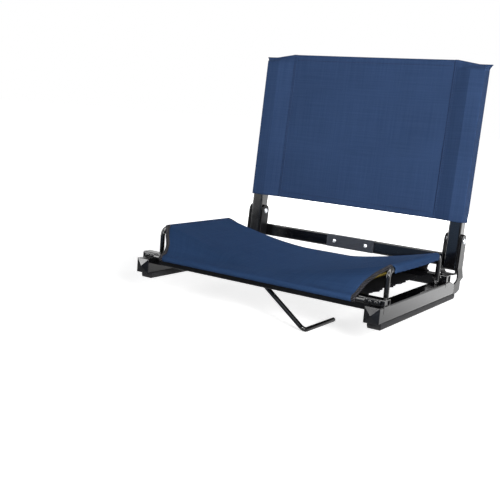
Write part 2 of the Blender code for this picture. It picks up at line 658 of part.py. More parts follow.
def cradle(side, sign, frame):
    """Strap with round ends and two holes, cut flat and bent into a U under the upright."""
    fall = WEB_DEPTH + STRAP / 2 - STRAP_BEND
    turn = STRAP_BEND * math.pi / 2
    run = FLANGE_X - EAR_X - STRAP - 2 * STRAP_BEND
    total = 2 * (fall + turn) + run
    outline = arc((0.0, 0.0), UPRIGHT_HALF, 90, 270, 10) + arc((total, 0.0), UPRIGHT_HALF, -90, 90, 10)
    holes = [circle((place, 0.0), PIN + 2 * GAP) for place in (0.0, total)]
    mesh = plate_mesh([outline] + holes, STRAP)
    shape = bmesh.new()
    shape.from_mesh(mesh)
    for start in (fall, fall + turn + run):
        for step in range(STRAP_BEND_STEPS + 1):
            cut = start + turn * step / STRAP_BEND_STEPS
            bmesh.ops.bisect_plane(shape, geom=list(shape.verts) + list(shape.edges) + list(shape.faces),
                                   plane_co=(cut, 0.0, 0.0), plane_no=(1.0, 0.0, 0.0), dist=1e-7)
    for vert in shape.verts:
        (x, z), (out_x, out_z) = strap_path(vert.co.x)
        vert.co = (sign * (x + out_x * vert.co.z), vert.co.y, z + out_z * vert.co.z)
    face_out(shape)
    bmesh.ops.dissolve_limit(shape, angle_limit=math.radians(1), verts=shape.verts, edges=shape.edges)
    shape.to_mesh(mesh)
    shape.free()
    return keep(side + "_hinge_cradle", mesh, POWDER_COAT, frame)


def hinge_pin(side, sign, frame):
    inner, outer = EAR_X - GAP, ARM_X + GAP
    pin = turned(side + "_hinge_pin", rivet_profile(PIN, PIN_HEAD, PIN_HEAD_HEIGHT, outer - inner),
                 ZINC, PIN_STEPS, frame)
    pin.rotation_euler = (0.0, math.radians(90), 0.0)
    pin.location = (sign * (inner + outer) / 2, 0.0, 0.0)


def hinge_washer(side, sign, frame):
    mesh = plate_mesh([circle((0.0, 0.0), WASHER_SIZE), circle((0.0, 0.0), PIN + 2 * GAP)], WASHER)
    stand(mesh, ALONG_X, (sign * (EAR_X + STRAP + GAP + WASHER / 2), 0.0, 0.0))
    return keep(side + "_hinge_washer", mesh, ZINC, frame)


# Backrest: uprights, caps, stop bar

def upright(side, sign, frame):
    length = UPRIGHT_ABOVE + UPRIGHT_BELOW
    inside = UPRIGHT_SIZE - 2 * UPRIGHT_WALL
    tube = plate_mesh([rounded_box(UPRIGHT_SIZE, UPRIGHT_SIZE, UPRIGHT_CORNER, 4),
                       rounded_box(inside, inside, UPRIGHT_CORNER - UPRIGHT_WALL, 4)], length)
    tube.transform(Matrix.Translation((sign * UPRIGHT_X, 0.0, (UPRIGHT_ABOVE - UPRIGHT_BELOW) / 2)))
    piece = keep(side + "_upright", tube, POWDER_COAT, frame)
    hole = stand(plate_mesh([circle((0.0, 0.0), PIN + 2 * GAP)], 2 * UPRIGHT_SIZE), ALONG_X,
                 (sign * UPRIGHT_X, 0.0, 0.0))
    boolean(piece, cutter(side + "_upright_hole", hole, frame))
    for way in (-1, 1):
        edge, round_end, beyond = UPRIGHT_HALF, UPRIGHT_END_ROUND, 0.002
        quarter = arc((edge - round_end, -UPRIGHT_BELOW + round_end), round_end + GAP, 0, -90, 4)
        corner = [(edge + beyond, -UPRIGHT_BELOW + round_end)] + quarter \
            + [(edge - round_end, -UPRIGHT_BELOW - beyond), (edge + beyond, -UPRIGHT_BELOW - beyond)]
        block = stand(plate_mesh([[(way * y, z) for y, z in corner]], 2 * UPRIGHT_SIZE), ALONG_X,
                      (sign * UPRIGHT_X, 0.0, 0.0))
        boolean(piece, cutter("%s_upright_end_%s" % (side, "front" if way < 0 else "rear"), block, frame))
    return piece


def upright_cap(side, sign, frame):
    """Moulded cap in the top of the tube, so that it doesn't chafe the sleeve."""
    top = plate_mesh([rounded_box(UPRIGHT_SIZE, UPRIGHT_SIZE, UPRIGHT_CORNER)], CAP_HEIGHT)
    top.transform(Matrix.Translation((sign * UPRIGHT_X, 0.0, UPRIGHT_ABOVE + GAP + CAP_HEIGHT / 2)))
    piece = keep(side + "_upright_cap", top, MOULDED_BLACK, frame)
    neck = UPRIGHT_SIZE - 2 * UPRIGHT_WALL - 2 * GAP
    block = plate_mesh([rounded_box(neck, neck, UPRIGHT_CORNER - UPRIGHT_WALL)], CAP_NECK + CAP_HEIGHT)
    block.transform(Matrix.Translation((sign * UPRIGHT_X, 0.0, UPRIGHT_ABOVE - (CAP_NECK - CAP_HEIGHT) / 2)))
    boolean(piece, cutter(side + "_upright_cap_neck", block, frame), "UNION")
    return piece


def stop_bar(side, sign, frame):
    """Half of the flat tube that joins the uprights and stops the recline on the brackets."""
    length = STOP_HALF - GAP / 2
    tube = plate_mesh([rounded_box(STOP_DEPTH, STOP_HEIGHT, STOP_CORNER),
                       rounded_box(STOP_DEPTH - 2 * STOP_WALL, STOP_HEIGHT - 2 * STOP_WALL,
                                   STOP_CORNER - STOP_WALL)], length)
    stand(tube, ALONG_X, (sign * (GAP / 2 + length / 2), UPRIGHT_HALF + GAP + STOP_DEPTH / 2, -STOP_BELOW))
    piece = keep(side + "_stop_bar", tube, POWDER_COAT, frame)
    hole = stand(plate_mesh([circle((sign * SPLICE_RIVET_X, -STOP_BELOW), RIVET_SHANK + 2 * GAP, HOLE_STEPS)],
                            3 * STOP_DEPTH), ALONG_Y, (0.0, UPRIGHT_HALF + STOP_DEPTH / 2, 0.0))
    boolean(piece, cutter(side + "_stop_bar_hole", hole, frame))
    return piece


def splice(frame):
    """Two plates over the joint of the stop bar, and the rivets through both."""
    inner = UPRIGHT_HALF + GAP
    for name, face in (("front_splice_plate", inner - GAP - SPLICE_THICKNESS),
                       ("rear_splice_plate", inner + STOP_DEPTH + GAP)):
        holes = [circle((sign * SPLICE_RIVET_X, 0.0), RIVET_SHANK + 2 * GAP, HOLE_STEPS) for _, sign in SIDES]
        mesh = plate_mesh([rounded_box(2 * SPLICE_HALF, STOP_HEIGHT, SPLICE_CORNER)] + holes, SPLICE_THICKNESS)
        stand(mesh, ALONG_Y, (0.0, face + SPLICE_THICKNESS / 2, -STOP_BELOW))
        keep(name, mesh, POWDER_COAT, frame)
    grip = STOP_DEPTH + 2 * SPLICE_THICKNESS + 4 * GAP
    for side, sign in SIDES:
        rivet = turned(side + "_splice_rivet",
                       rivet_profile(RIVET_SHANK, SPLICE_RIVET_HEAD, RIVET_HEAD_HEIGHT, grip),
                       ZINC, RIVET_STEPS, frame)
        rivet.rotation_euler = (math.radians(90), 0.0, 0.0)
        rivet.location = (sign * SPLICE_RIVET_X, inner + STOP_DEPTH / 2, -STOP_BELOW)


# Fabric back

def bow(x):
    return COVER_BOW * math.cos(math.pi * min(abs(x) / COVER_SEAM_X, 1.0) / 2)


def cloth(name, grid, thickness, finish, parent=None):
    """A closed sheet of cloth: its middle surface from rows of points, then its thickness."""
    shape = bmesh.new()
    rows = [[shape.verts.new(point) for point in row] for row in grid]
    for low, high in zip(rows, rows[1:]):
        for at in range(len(low) - 1):
            shape.faces.new((low[at], low[at + 1], high[at + 1], high[at]))
    mesh = bpy.data.meshes.new(name)
    shape.to_mesh(mesh)
    shape.free()
    piece = keep(name, mesh, finish, parent)
    thick = piece.modifiers.new("cloth", "SOLIDIFY")
    thick.thickness = thickness
    thick.offset = 0.0
    return piece


def back_panel(frame):
    """The flat middle of the back, sewn between the two sleeves."""
    places = np.linspace(-COVER_SEAM_X, COVER_SEAM_X, COVER_ACROSS + 1)
    heights = np.linspace(COVER_BOTTOM, COVER_TOP, 5)
    return cloth("back_panel", [[(x, bow(x), z) for x in places] for z in heights], COVER_CLOTH, NAVY, frame)


def sleeve_half():
    """Front half of the sleeve's outline: lap on the panel, slant, face, then outer side."""
    lap = COVER_CLOTH + GAP
    near = UPRIGHT_X - UPRIGHT_HALF - COVER_EASE
    far = UPRIGHT_X + UPRIGHT_HALF + COVER_EASE + COVER_CLOTH / 2
    deep = UPRIGHT_HALF + COVER_EASE + COVER_CLOTH / 2
    return [(COVER_SEAM_X - COVER_LAP, -lap), (COVER_SEAM_X, -lap), (near, -deep),
            ((near + far) / 2, -deep - COVER_CROWN), (far - COVER_FOLD, -deep),
            (far, -deep + COVER_FOLD), (far, 0.0)]


def sleeve(side, sign, frame):
    """Cloth round an upright, open at the bottom and pressed flat and sewn at the top."""
    half = sleeve_half()
    outline = half + [(x, -y) for x, y in reversed(half[:-1])]
    far = half[-1][0]
    rows = [[(sign * x, y + bow(x), z) for x, y in outline]
            for z in np.linspace(COVER_BOTTOM, COVER_EAR_LOW, 4)]
    for share in COVER_CLOSING:
        row = []
        for x, y in outline:
            out = max(0.0, (x - COVER_SEAM_X) / (far - COVER_SEAM_X))
            flat = math.copysign(min(abs(y), COVER_FLAT), y)
            top = COVER_TOP - COVER_EAR_DROP * out
            row.append((sign * (x + (COVER_EAR_X - far) * out * share), y + (flat - y) * share + bow(x),
                        COVER_EAR_LOW + (top - COVER_EAR_LOW) * share))
        rows.append(row)
    if sign < 0:
        rows = [row[::-1] for row in rows]
    return cloth(side + "_sleeve", rows, COVER_CLOTH, NAVY, frame)


# Hook, its bracket and its retainer

def hook(frame):
    """Round rod: a stub through its bracket, an arm that hangs, and a toe for under the board."""
    near = HOOK_BEND + RUN
    stub = near + LUG_THICKNESS + RUN + RETAINER_THICKNESS + HOOK_STUB_END
    path = rounded_path([(0.0, stub, 0.0), (0.0, 0.0, 0.0), (0.0, 0.0, -HOOK_ARM), (0.0, HOOK_TOE, -HOOK_ARM)],
                        HOOK_BEND, 4)
    smooth(keep("hook", rod_mesh(path, HOOK_ROD, 4), POWDER_COAT, frame))
    retainer = plate_mesh([circle((0.0, 0.0), RETAINER_SIZE), circle((0.0, 0.0), HOOK_ROD + 2 * GAP)],
                          RETAINER_THICKNESS)
    stand(retainer, ALONG_Y, (0.0, near + LUG_THICKNESS + RUN + RETAINER_THICKNESS / 2, 0.0))
    keep("hook_retainer", retainer, ZINC, frame)
    far, wall = HOOK_Y + near + LUG_THICKNESS, LUG_THICKNESS
    face, top = FRONT_BAR_Y + CROSS_SIZE + GAP, FRONT_BAR_TOP - CROSS_CORNER
    low = HOOK_Z - HOOK_ROD / 2 - LUG_LIP
    outline = [(face, top - wall), (far - wall, top - wall), (far - wall, low), (far, low), (far, top),
               (face, top)]
    bracket = keep("hook_bracket", stand(plate_mesh([outline], LUG_WIDTH), ALONG_X), POWDER_COAT)
    hole = plate_mesh([circle((0.0, HOOK_Z), HOOK_ROD + 2 * RUN)], 4 * wall)
    boolean(bracket, cutter("hook_bracket_hole", stand(hole, ALONG_Y, (0.0, far - wall / 2, 0.0))))


# Springs under the seat

def spring(number, place):
    """Long extension spring: an open coil, with a straight wire to a hooked end at each side."""
    front_y = FRONT_BAR_Y + CROSS_SIZE - SPRING_HOLE_INSET
    rear_y = REAR_BAR_Y - CROSS_SIZE + SPRING_HOLE_INSET
    radius = (SPRING_OUTER - SPRING_WIRE) / 2
    half = SPRING_CURLS * SPRING_PITCH / 2
    middle = (front_y + rear_y) / 2
    lift = GAP + SPRING_WIRE / 2
    front_z, rear_z = FRONT_BAR_TOP + lift, REAR_BAR_TOP + lift
    down = CROSS_WALL + lift + SPRING_HOOK_REACH

    def axis(y):
        share = (y - front_y) / (rear_y - front_y)
        return Vector((place, y, front_z + (rear_z - front_z) * share))

    start, end = axis(front_y), axis(rear_y)
    front_end = rounded_path([start - Vector((0, 0, down)), start, axis(middle - half - 2 * radius)],
                             SPRING_HOOK_BEND, 3)
    coil = []
    steps = SPRING_CURLS * SPRING_POINTS
    for step in range(steps + 1):
        turn = 2 * math.pi * step / SPRING_POINTS
        grow = min(1.0, step / SPRING_TAPER, (steps - step) / SPRING_TAPER)
        spoke = Vector((math.cos(turn), 0.0, math.sin(turn))) * radius * grow
        coil.append(axis(middle - half + 2 * half * step / steps) + spoke)
    rear_end = rounded_path([axis(middle + half + 2 * radius), end, end - Vector((0, 0, down))],
                            SPRING_HOOK_BEND, 3)
    points = front_end + coil + rear_end
    piece = keep("seat_spring_%d" % number, rod_mesh(points, SPRING_WIRE, SPRING_SIDES), YELLOW_ZINC)
    return smooth(piece), coil


def least_gap(points):
    """Least clear gap between curls that aren't neighbours on the wire."""
    least = 1.0
    skip = SPRING_POINTS // 2 + 1
    for at, point in enumerate(points):
        for other in points[at + skip:]:
            least = min(least, (point - other).length)
    return least - SPRING_WIRE


# Fabric seat

def sling_edge(share):
    """Right edge of the seat from front to rear: up a corner, along the arch, and down again."""
    wrap = ARCH_ROD / 2 + GAP + SLING_CLOTH / 2
    top = ARCH_HEIGHT + wrap * math.cos(SLING_LEAVES)
    side = ARCH_X - wrap * math.sin(SLING_LEAVES)
    lift = 2 * GAP + SLING_CLOTH
    front_hem = (SLING_FRONT_HALF, FRONT_BAR_Y + CROSS_CORNER, FRONT_BAR_TOP + lift)
    rear_hem = (SLING_REAR_HALF, REAR_BAR_Y - CROSS_CORNER, REAR_BAR_TOP + lift)
    front_arch, rear_arch = (side, SLING_SIDE_FRONT, top), (side, SLING_SIDE_REAR, top)
    stops = [(0.0, front_hem)]
    for corner, steps in ((front_hem, SLING_FROM_FRONT_HEM), (front_arch, SLING_TO_FRONT_ARCH),
                          (front_arch, ((SLING_HELD[0], 0, 0, 0),)), (rear_arch, ((SLING_HELD[1], 0, 0, 0),)),
                          (rear_arch, SLING_FROM_REAR_ARCH), (rear_hem, SLING_TO_REAR_HEM)):
        stops += [(at, tuple(a + b for a, b in zip(corner, step))) for at, *step in steps]
    stops.append((1.0, rear_hem))
    for (low, start), (high, end) in zip(stops, stops[1:]):
        if share <= high + 1e-9:
            part = (share - low) / (high - low)
            return [a + (b - a) * part for a, b in zip(start, end)]
    return list(stops[-1][1])


def sling_grid():
    """Points of the taut seat, its heights relaxed like a soap film between the four edges."""
    edge = np.array([sling_edge(share) for share in SLING_SHARES])
    across = np.linspace(-1.0, 1.0, SLING_ACROSS + 1)
    grid = np.array([[(x * place, y, z) for place in across] for x, y, z in edge])
    heights = grid[:, :, 2]
    before, after = np.diff(edge[:, 1])[:-1, None], np.diff(edge[:, 1])[1:, None]
    width = 2 * edge[1:-1, 0:1] / SLING_ACROSS
    fore, aft = 2 / (before * (before + after)), 2 / (after * (before + after))
    cross = 1 / width ** 2
    for _ in range(SLING_RELAX_STEPS):
        heights[1:-1, 1:-1] = (heights[:-2, 1:-1] * fore + heights[2:, 1:-1] * aft
                               + (heights[1:-1, :-2] + heights[1:-1, 2:]) * cross) / (fore + aft + 2 * cross)
    return grid


def sling():
    """The fabric seat: a taut saddle, rolled round both hem rods and over both arches."""
    grid = sling_grid()
    shape = bmesh.new()
    verts = [[shape.verts.new(point) for point in row] for row in grid]
    rows, columns = len(verts), len(verts[0])

    def quads(first, second):
        for at in range(len(first) - 1):
            shape.faces.new((first[at], first[at + 1], second[at + 1], second[at]))

    for low, high in zip(verts, verts[1:]):
        quads(low, high)
    roll = HEM_ROD / 2 + GAP + SLING_CLOTH / 2
    for edge_row, face, top, way in ((verts[0], FRONT_BAR_Y, FRONT_BAR_TOP, -1),
                                     (verts[-1], REAR_BAR_Y, REAR_BAR_TOP, 1)):
        centre_z = top - HEM_ROD_DROP
        centre_y = face + way * (GAP + HEM_ROD / 2)
        before = edge_row
        for turn in SLING_ROLL_TURNS:
            angle = math.radians(turn)
            ring = [shape.verts.new((vert.co.x, centre_y + way * roll * math.sin(angle),
                                     centre_z + roll * math.cos(angle))) for vert in edge_row]
            quads(before, ring)
            before = ring
    roll = ARCH_ROD / 2 + GAP + SLING_CLOTH / 2
    held = [row for row, share in enumerate(SLING_SHARES) if SLING_HELD[0] <= share <= SLING_HELD[1]]
    for column, sign in ((0, -1), (columns - 1, 1)):
        before = [verts[row][column] for row in held]
        lengths = [vert.co.y for vert in before]
        for out, up in [(roll * math.sin(math.radians(turn)), roll * math.cos(math.radians(turn)))
                        for turn in SLING_WRAP_TURNS] + [(roll, -SLING_SKIRT)]:
            ring = [shape.verts.new((sign * (ARCH_X + out), length, ARCH_HEIGHT + up)) for length in lengths]
            quads(before, ring)
            before = ring
    bmesh.ops.recalc_face_normals(shape, faces=shape.faces)
    mesh = bpy.data.meshes.new("seat_sling")
    shape.to_mesh(mesh)
    shape.free()
    piece = keep("seat_sling", mesh, NAVY)
    thick = piece.modifiers.new("cloth", "SOLIDIFY")
    thick.thickness = SLING_CLOTH
    thick.offset = 0.0
    thick.use_even_offset = True
    return smooth(piece)


def binding(where, side, sign):
    """Tape tube along the cut corner of the seat."""
    shares = np.linspace(*BINDING_SHARES[where], BINDING_POINTS)
    lift = SLING_CLOTH / 2 + GAP + BINDING_SIZE / 2
    points = []
    for share in shares:
        x, y, z = sling_edge(share)
        look = BINDING_SHARES["front"][0]
        ahead, behind = sling_edge(min(share + look, 1.0)), sling_edge(max(share - look, 0.0))
        run = Vector(ahead) - Vector(behind)
        out = Vector((1.0, 0.0, 0.0)) - run.normalized() * run.normalized().x
        points.append(Vector((x, y, z)) + out.normalized() * lift)
    mesh = rod_mesh([(sign * point.x, point.y, point.z) for point in points], BINDING_SIZE, 2)
    return smooth(keep("%s_%s_binding" % (where, side), mesh, CHARCOAL))


def build():
    for side, sign in SIDES:
        rail(side, sign)
        plug(side, sign)
        foot(side, sign)
        arch(side, sign)
        arm(side, sign)
    for where, face_y, top, inward, depth, tail in (
            ("front", FRONT_BAR_Y, FRONT_BAR_TOP, 1, CROSS_WALL, RIVET_TAIL),
            ("rear", REAR_BAR_Y, REAR_BAR_TOP, -1, CROSS_SIZE, None)):
        cross_bar(where + "_cross_bar", face_y, top, inward, depth)
        hem_rod(where + "_hem_rod", face_y, top, inward)
        hem_rivets(where, face_y, top, inward, depth, tail)
        for side, sign in SIDES:
            binding(where, side, sign)
    hinge = axis_frame("hinge_frame", (0.0, PIVOT_Y, PIVOT_Z), (-LEAN, 0.0, 0.0))
    back = axis_frame("backrest_axis", (0.0, PIVOT_Y, PIVOT_Z), (-LEAN, 0.0, 0.0))
    swing = axis_frame("hook_axis", (0.0, HOOK_Y, HOOK_Z), (0.0, -HOOK_ANGLE, 0.0))
    for side, sign in SIDES:
        cradle(side, sign, hinge)
        hinge_pin(side, sign, hinge)
        hinge_washer(side, sign, hinge)
        upright(side, sign, back)
        upright_cap(side, sign, back)
        stop_bar(side, sign, back)
        sleeve(side, sign, back)
    splice(back)
    back_panel(back)
    hook(swing)
    sling()
    for number, place in enumerate(SPRING_PLACES, 1):
        coil = spring(number, place)[1]
        if number == 1:
            print("least gap in a spring: %.2f mm" % (1000 * least_gap(coil)))


build()
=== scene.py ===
import math

import bmesh
import bpy
import numpy as np
from mathutils import Matrix, Vector


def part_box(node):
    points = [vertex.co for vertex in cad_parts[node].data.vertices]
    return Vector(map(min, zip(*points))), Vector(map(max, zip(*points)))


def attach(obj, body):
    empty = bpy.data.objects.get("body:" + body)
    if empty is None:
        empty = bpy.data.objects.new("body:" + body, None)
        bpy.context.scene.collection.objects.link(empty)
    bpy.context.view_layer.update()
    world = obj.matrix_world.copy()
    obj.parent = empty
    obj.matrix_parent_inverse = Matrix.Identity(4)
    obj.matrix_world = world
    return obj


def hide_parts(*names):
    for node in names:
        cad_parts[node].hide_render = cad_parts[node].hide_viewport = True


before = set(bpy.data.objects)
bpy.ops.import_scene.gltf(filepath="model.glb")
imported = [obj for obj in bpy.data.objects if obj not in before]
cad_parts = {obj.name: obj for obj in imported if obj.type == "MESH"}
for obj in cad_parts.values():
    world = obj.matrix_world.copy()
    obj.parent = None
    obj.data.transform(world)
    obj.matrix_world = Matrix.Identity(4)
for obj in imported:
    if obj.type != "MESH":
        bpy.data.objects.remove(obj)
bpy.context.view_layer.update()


# Rails: two 1 in square steel tubes that stand on the board, notched at the rear for the hinge arms.
# Powder coated in gloss black: it levels to a faint orange peel, softens every edge, and goes dull
# and greyer on corners that rub.

def linear(code):
    """An sRGB hex colour as linear red, green, blue and alpha."""
    parts = [int(code[at:at + 2], 16) / 255 for at in (1, 3, 5)]
    return tuple(part / 12.92 if part <= 0.04045 else ((part + 0.055) / 1.055) ** 2.4
                 for part in parts) + (1.0,)


def add(tree, kind, inputs=None, **settings):
    """Add a shader node with its settings, and set or link its inputs.

    A node as a value stands for its first output in use, and a string for a hex colour.
    """
    node = tree.nodes.new(kind)
    for name, value in settings.items():
        setattr(node, name, value)
    for name, value in (inputs or {}).items():
        if isinstance(value, bpy.types.Node):
            value = next(output for output in value.outputs if output.enabled)
        if isinstance(value, bpy.types.NodeSocket):
            tree.links.new(value, node.inputs[name])
        else:
            node.inputs[name].default_value = linear(value) if isinstance(value, str) else value
    return node


def per(millimetres):
    """A texture's scale for a pattern of this size in millimetres."""
    return 1000 / millimetres


def blank_material(name):
    """An empty material, its node tree, and the place on the piece."""
    made = bpy.data.materials.new(name)
    made.use_nodes = True
    made.node_tree.nodes.clear()
    return made, made.node_tree, add(made.node_tree, "ShaderNodeTexCoord").outputs["Object"]


def finish_material(tree, **inputs):
    """Close a material with its shader: inputs are given by their names, with _ for a space."""
    shader = add(tree, "ShaderNodeBsdfPrincipled",
                 {name.replace("_", " "): value for name, value in inputs.items()})
    add(tree, "ShaderNodeOutputMaterial", {"Surface": shader})


EDGE_SOFT = 0.0009          # radius that the coat gives a square edge


def powder_coat_material(name, smooth, dull, level, soft=EDGE_SOFT):
    """A coat whose roughness goes from smooth to dull where it is handled, with a soft edge or rod."""
    made, tree, place = blank_material(name)
    on_rod = soft > EDGE_SOFT       # where a wide bevel rounds every facet, only a sharp end is an edge
    edge_from, edge_to = (0.80, 0.60) if on_rod else (0.985, 0.80)
    peel = add(tree, "ShaderNodeTexNoise", {"Vector": place, "Scale": per(2.381), "Detail": 1.0})
    handled = add(tree, "ShaderNodeTexNoise", {"Vector": place, "Scale": per(26.32), "Detail": 5.0,
                                               "Roughness": 0.62})
    soft_edge = add(tree, "ShaderNodeBevel", {"Radius": soft}, samples=12 if on_rod else 6)
    true_face = add(tree, "ShaderNodeNewGeometry").outputs["True Normal"]
    agree = add(tree, "ShaderNodeVectorMath", {0: soft_edge, 1: true_face}, operation="DOT_PRODUCT")
    edge = add(tree, "ShaderNodeMapRange", {"Value": agree, "From Min": edge_from, "From Max": edge_to})
    rubbed = add(tree, "ShaderNodeMapRange", {"Value": handled, "From Min": 0.50, "From Max": 0.68})
    worn = add(tree, "ShaderNodeMath", {0: edge, 1: rubbed}, operation="MULTIPLY")
    colour = add(tree, "ShaderNodeMix", {0: worn, 6: "#0b0b0d", 7: "#303033"}, data_type="RGBA")
    gloss = add(tree, "ShaderNodeMapRange", {"Value": handled, "From Min": 0.3, "From Max": 0.75,
                                             "To Min": smooth, "To Max": dull})
    bump = add(tree, "ShaderNodeBump", {"Height": peel, "Strength": 0.02, "Distance": 0.0003,
                                        "Normal": soft_edge})
    finish_material(tree, Base_Color=colour, Roughness=gloss, Normal=bump, Specular_IOR_Level=level)
    return made


def paint(names, material):
    """Give CAD nodes a finish in place of their plain one."""
    for name in names:
        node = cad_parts[name]
        node.data.materials.clear()
        node.data.materials.append(material)


SIDES = (("left", -1), ("right", 1))


def both(*endings):
    """The names of a pair, or of some pairs, left and right."""
    return [side + ending for side, _ in SIDES for ending in endings]


powder_coat = powder_coat_material("gloss_black_powder_coat", 0.09, 0.20, 0.5)
paint(both("_rail"), powder_coat)


# Plugs: one in the front end of each rail, a polyethylene moulding with a shallow pyramid face.
# Moulded in fine spark-eroded steel, so it is satin with a very fine grain.

def plug_material():
    made, tree, place = blank_material("moulded_black_polyethylene")
    grain = add(tree, "ShaderNodeTexNoise", {"Vector": place, "Scale": per(0.4545), "Detail": 2.0})
    scuff = add(tree, "ShaderNodeTexNoise", {"Vector": place, "Scale": per(11.11), "Detail": 4.0})
    soft_edge = add(tree, "ShaderNodeBevel", {"Radius": 0.0007}, samples=6)
    colour = add(tree, "ShaderNodeMix", {0: scuff, 6: "#08090b", 7: "#131418"}, data_type="RGBA")
    gloss = add(tree, "ShaderNodeMapRange", {"Value": scuff, "To Min": 0.14, "To Max": 0.32})
    bump = add(tree, "ShaderNodeBump", {"Height": grain, "Strength": 0.08, "Distance": 0.0001,
                                        "Normal": soft_edge})
    finish_material(tree, Base_Color=colour, Roughness=gloss, Normal=bump, IOR=1.51)
    return made


moulded_plastic = plug_material()
paint(both("_plug"), moulded_plastic)


# Feet: a strip of extruded rubber glued under each rail, where it grips the board.
# Black rubber has no gloss, and it carries a little pale dust on its lower edge.

def rubber_material():
    made, tree, place = blank_material("extruded_black_rubber")
    pores = add(tree, "ShaderNodeTexNoise", {"Vector": place, "Scale": per(0.7143), "Detail": 3.0})
    dust = add(tree, "ShaderNodeTexNoise", {"Vector": place, "Scale": per(6.25), "Detail": 6.0})
    height = add(tree, "ShaderNodeSeparateXYZ", {"Vector": place}).outputs["Z"]
    low = add(tree, "ShaderNodeMapRange", {"Value": height, "From Min": 0.006, "From Max": 0.0, "To Max": 0.5})
    dusty = add(tree, "ShaderNodeMath", {0: low, 1: dust}, operation="MULTIPLY")
    colour = add(tree, "ShaderNodeMix", {0: dusty, 6: "#1b1b1d", 7: "#4b4a48"}, data_type="RGBA")
    soft_edge = add(tree, "ShaderNodeBevel", {"Radius": 0.0008}, samples=6)
    bump = add(tree, "ShaderNodeBump", {"Height": pores, "Strength": 0.3, "Distance": 0.0002,
                                        "Normal": soft_edge})
    finish_material(tree, Base_Color=colour, Roughness=0.72, Normal=bump, Specular_IOR_Level=0.3)
    return made


paint(both("_foot"), rubber_material())


# Cross bars, hem rods and the arches that hold the seat's sides: cut steel, riveted together.
# They went through the same powder line as the rails, rivets and all, and the coat flows round a rod.

ROD_SOFT = 0.0032           # wide enough to round the facets of a rod

rod_coat = powder_coat_material("gloss_black_powder_coat_on_rod", 0.09, 0.20, 0.5, ROD_SOFT)
paint(["front_cross_bar", "rear_cross_bar"], powder_coat)
paint(["front_hem_rod", "rear_hem_rod"] + both("_seat_arch"), rod_coat)
paint(["%s_%s_hem_rivet_%d" % (where, side, number) for where in ("front", "rear") for side, _ in SIDES
       for number in (1, 2)], powder_coat)
paint(both("_front_arch_rivet", "_rear_arch_rivet"), powder_coat)


# Bar ends: each cross bar is let into the rails, and its end in the rail's outer wall is filled with
# weld and ground flush before coating. What stands over the rail is closed by a plug set just inside.

BAR_SIZE = 0.0200
BAR_WALL = 0.0016
PLUG_INSET = 0.0018
PLUG_DEEP = 0.0080
PLUG_CORNER = 0.0012
WELD_LIFT = 0.00005
WELD_PROUD = 0.0002
WELD_OVER = 0.0009
WELD_CORNER = 0.0010
CROWN = (0.0004, 0.0018)            # how far a slab's edge and its flat are drawn in


def show(name, data, material=None):
    """Put a new object with this data in the scene."""
    if material:
        data.materials.append(material)
    piece = bpy.data.objects.new(name, data)
    bpy.context.scene.collection.objects.link(piece)
    return piece


def solid(name, shape, material):
    """Turn a built shape into an object."""
    mesh = bpy.data.meshes.new(name)
    shape.to_mesh(mesh)
    shape.free()
    return show(name, mesh, material)


def slab(name, outline, near, far, material):
    """A plate across X from an outline in Y and Z, with its outer face slightly crowned."""
    shape = bmesh.new()
    count = len(outline)
    centre = Vector((0.0, sum(y for y, _ in outline) / count, sum(z for _, z in outline) / count))
    rings = []
    for x, shrink in ((near, 0.0), (far - (far - near) * 0.15, 0.0), (far, CROWN[0]), (far, CROWN[1])):
        ring = []
        for y, z in outline:
            inward = Vector((0.0, centre.y - y, centre.z - z)).normalized()
            ring.append(shape.verts.new(Vector((x, y, z)) + inward * shrink))
        rings.append(ring)
    for one, two in zip(rings, rings[1:]):
        for at in range(count):
            on = (at + 1) % count
            shape.faces.new((one[at], one[on], two[on], two[at]))
    shape.faces.new(rings[0])
    shape.faces.new(rings[-1])
    bmesh.ops.recalc_face_normals(shape, faces=shape.faces)
    piece = solid(name, shape, material)
    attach(piece, "frame")


def round_square(y, z, half_y, half_z, corner):
    """An outline with round corners, from its middle and its half sizes."""
    line = []
    for quarter, (one, two) in enumerate(((1, 1), (-1, 1), (-1, -1), (1, -1))):
        for step in range(5):
            turn = math.pi / 2 * (quarter + step / 4)
            line.append((y + one * (half_y - corner) + corner * math.cos(turn),
                         z + two * (half_z - corner) + corner * math.sin(turn)))
    return line


for bar in ("front_cross_bar", "rear_cross_bar"):
    low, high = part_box(bar)
    middle = (low + high) / 2
    rail_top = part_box("right_rail")[1].z
    bore = BAR_SIZE / 2 - BAR_WALL
    mouth = round_square(middle.y, middle.z, bore, bore, PLUG_CORNER)
    fill = round_square(middle.y, (low.z - WELD_OVER + rail_top) / 2, BAR_SIZE / 2 + WELD_OVER,
                        (rail_top - low.z + WELD_OVER) / 2, WELD_CORNER)
    for side, sign in SIDES:
        slab("%s_%s_plug" % (side, bar), mouth, sign * (high.x - PLUG_DEEP), sign * (high.x - PLUG_INSET),
             moulded_plastic)
        slab("%s_%s_weld" % (side, bar), fill, sign * (high.x + WELD_LIFT), sign * (high.x + WELD_PROUD),
             powder_coat)


# Rivets, pins and washers: cold-headed steel, barrel plated in bright zinc.
# The plate is mirror-like with a faint blue cast, and cloudy where parts knocked together.

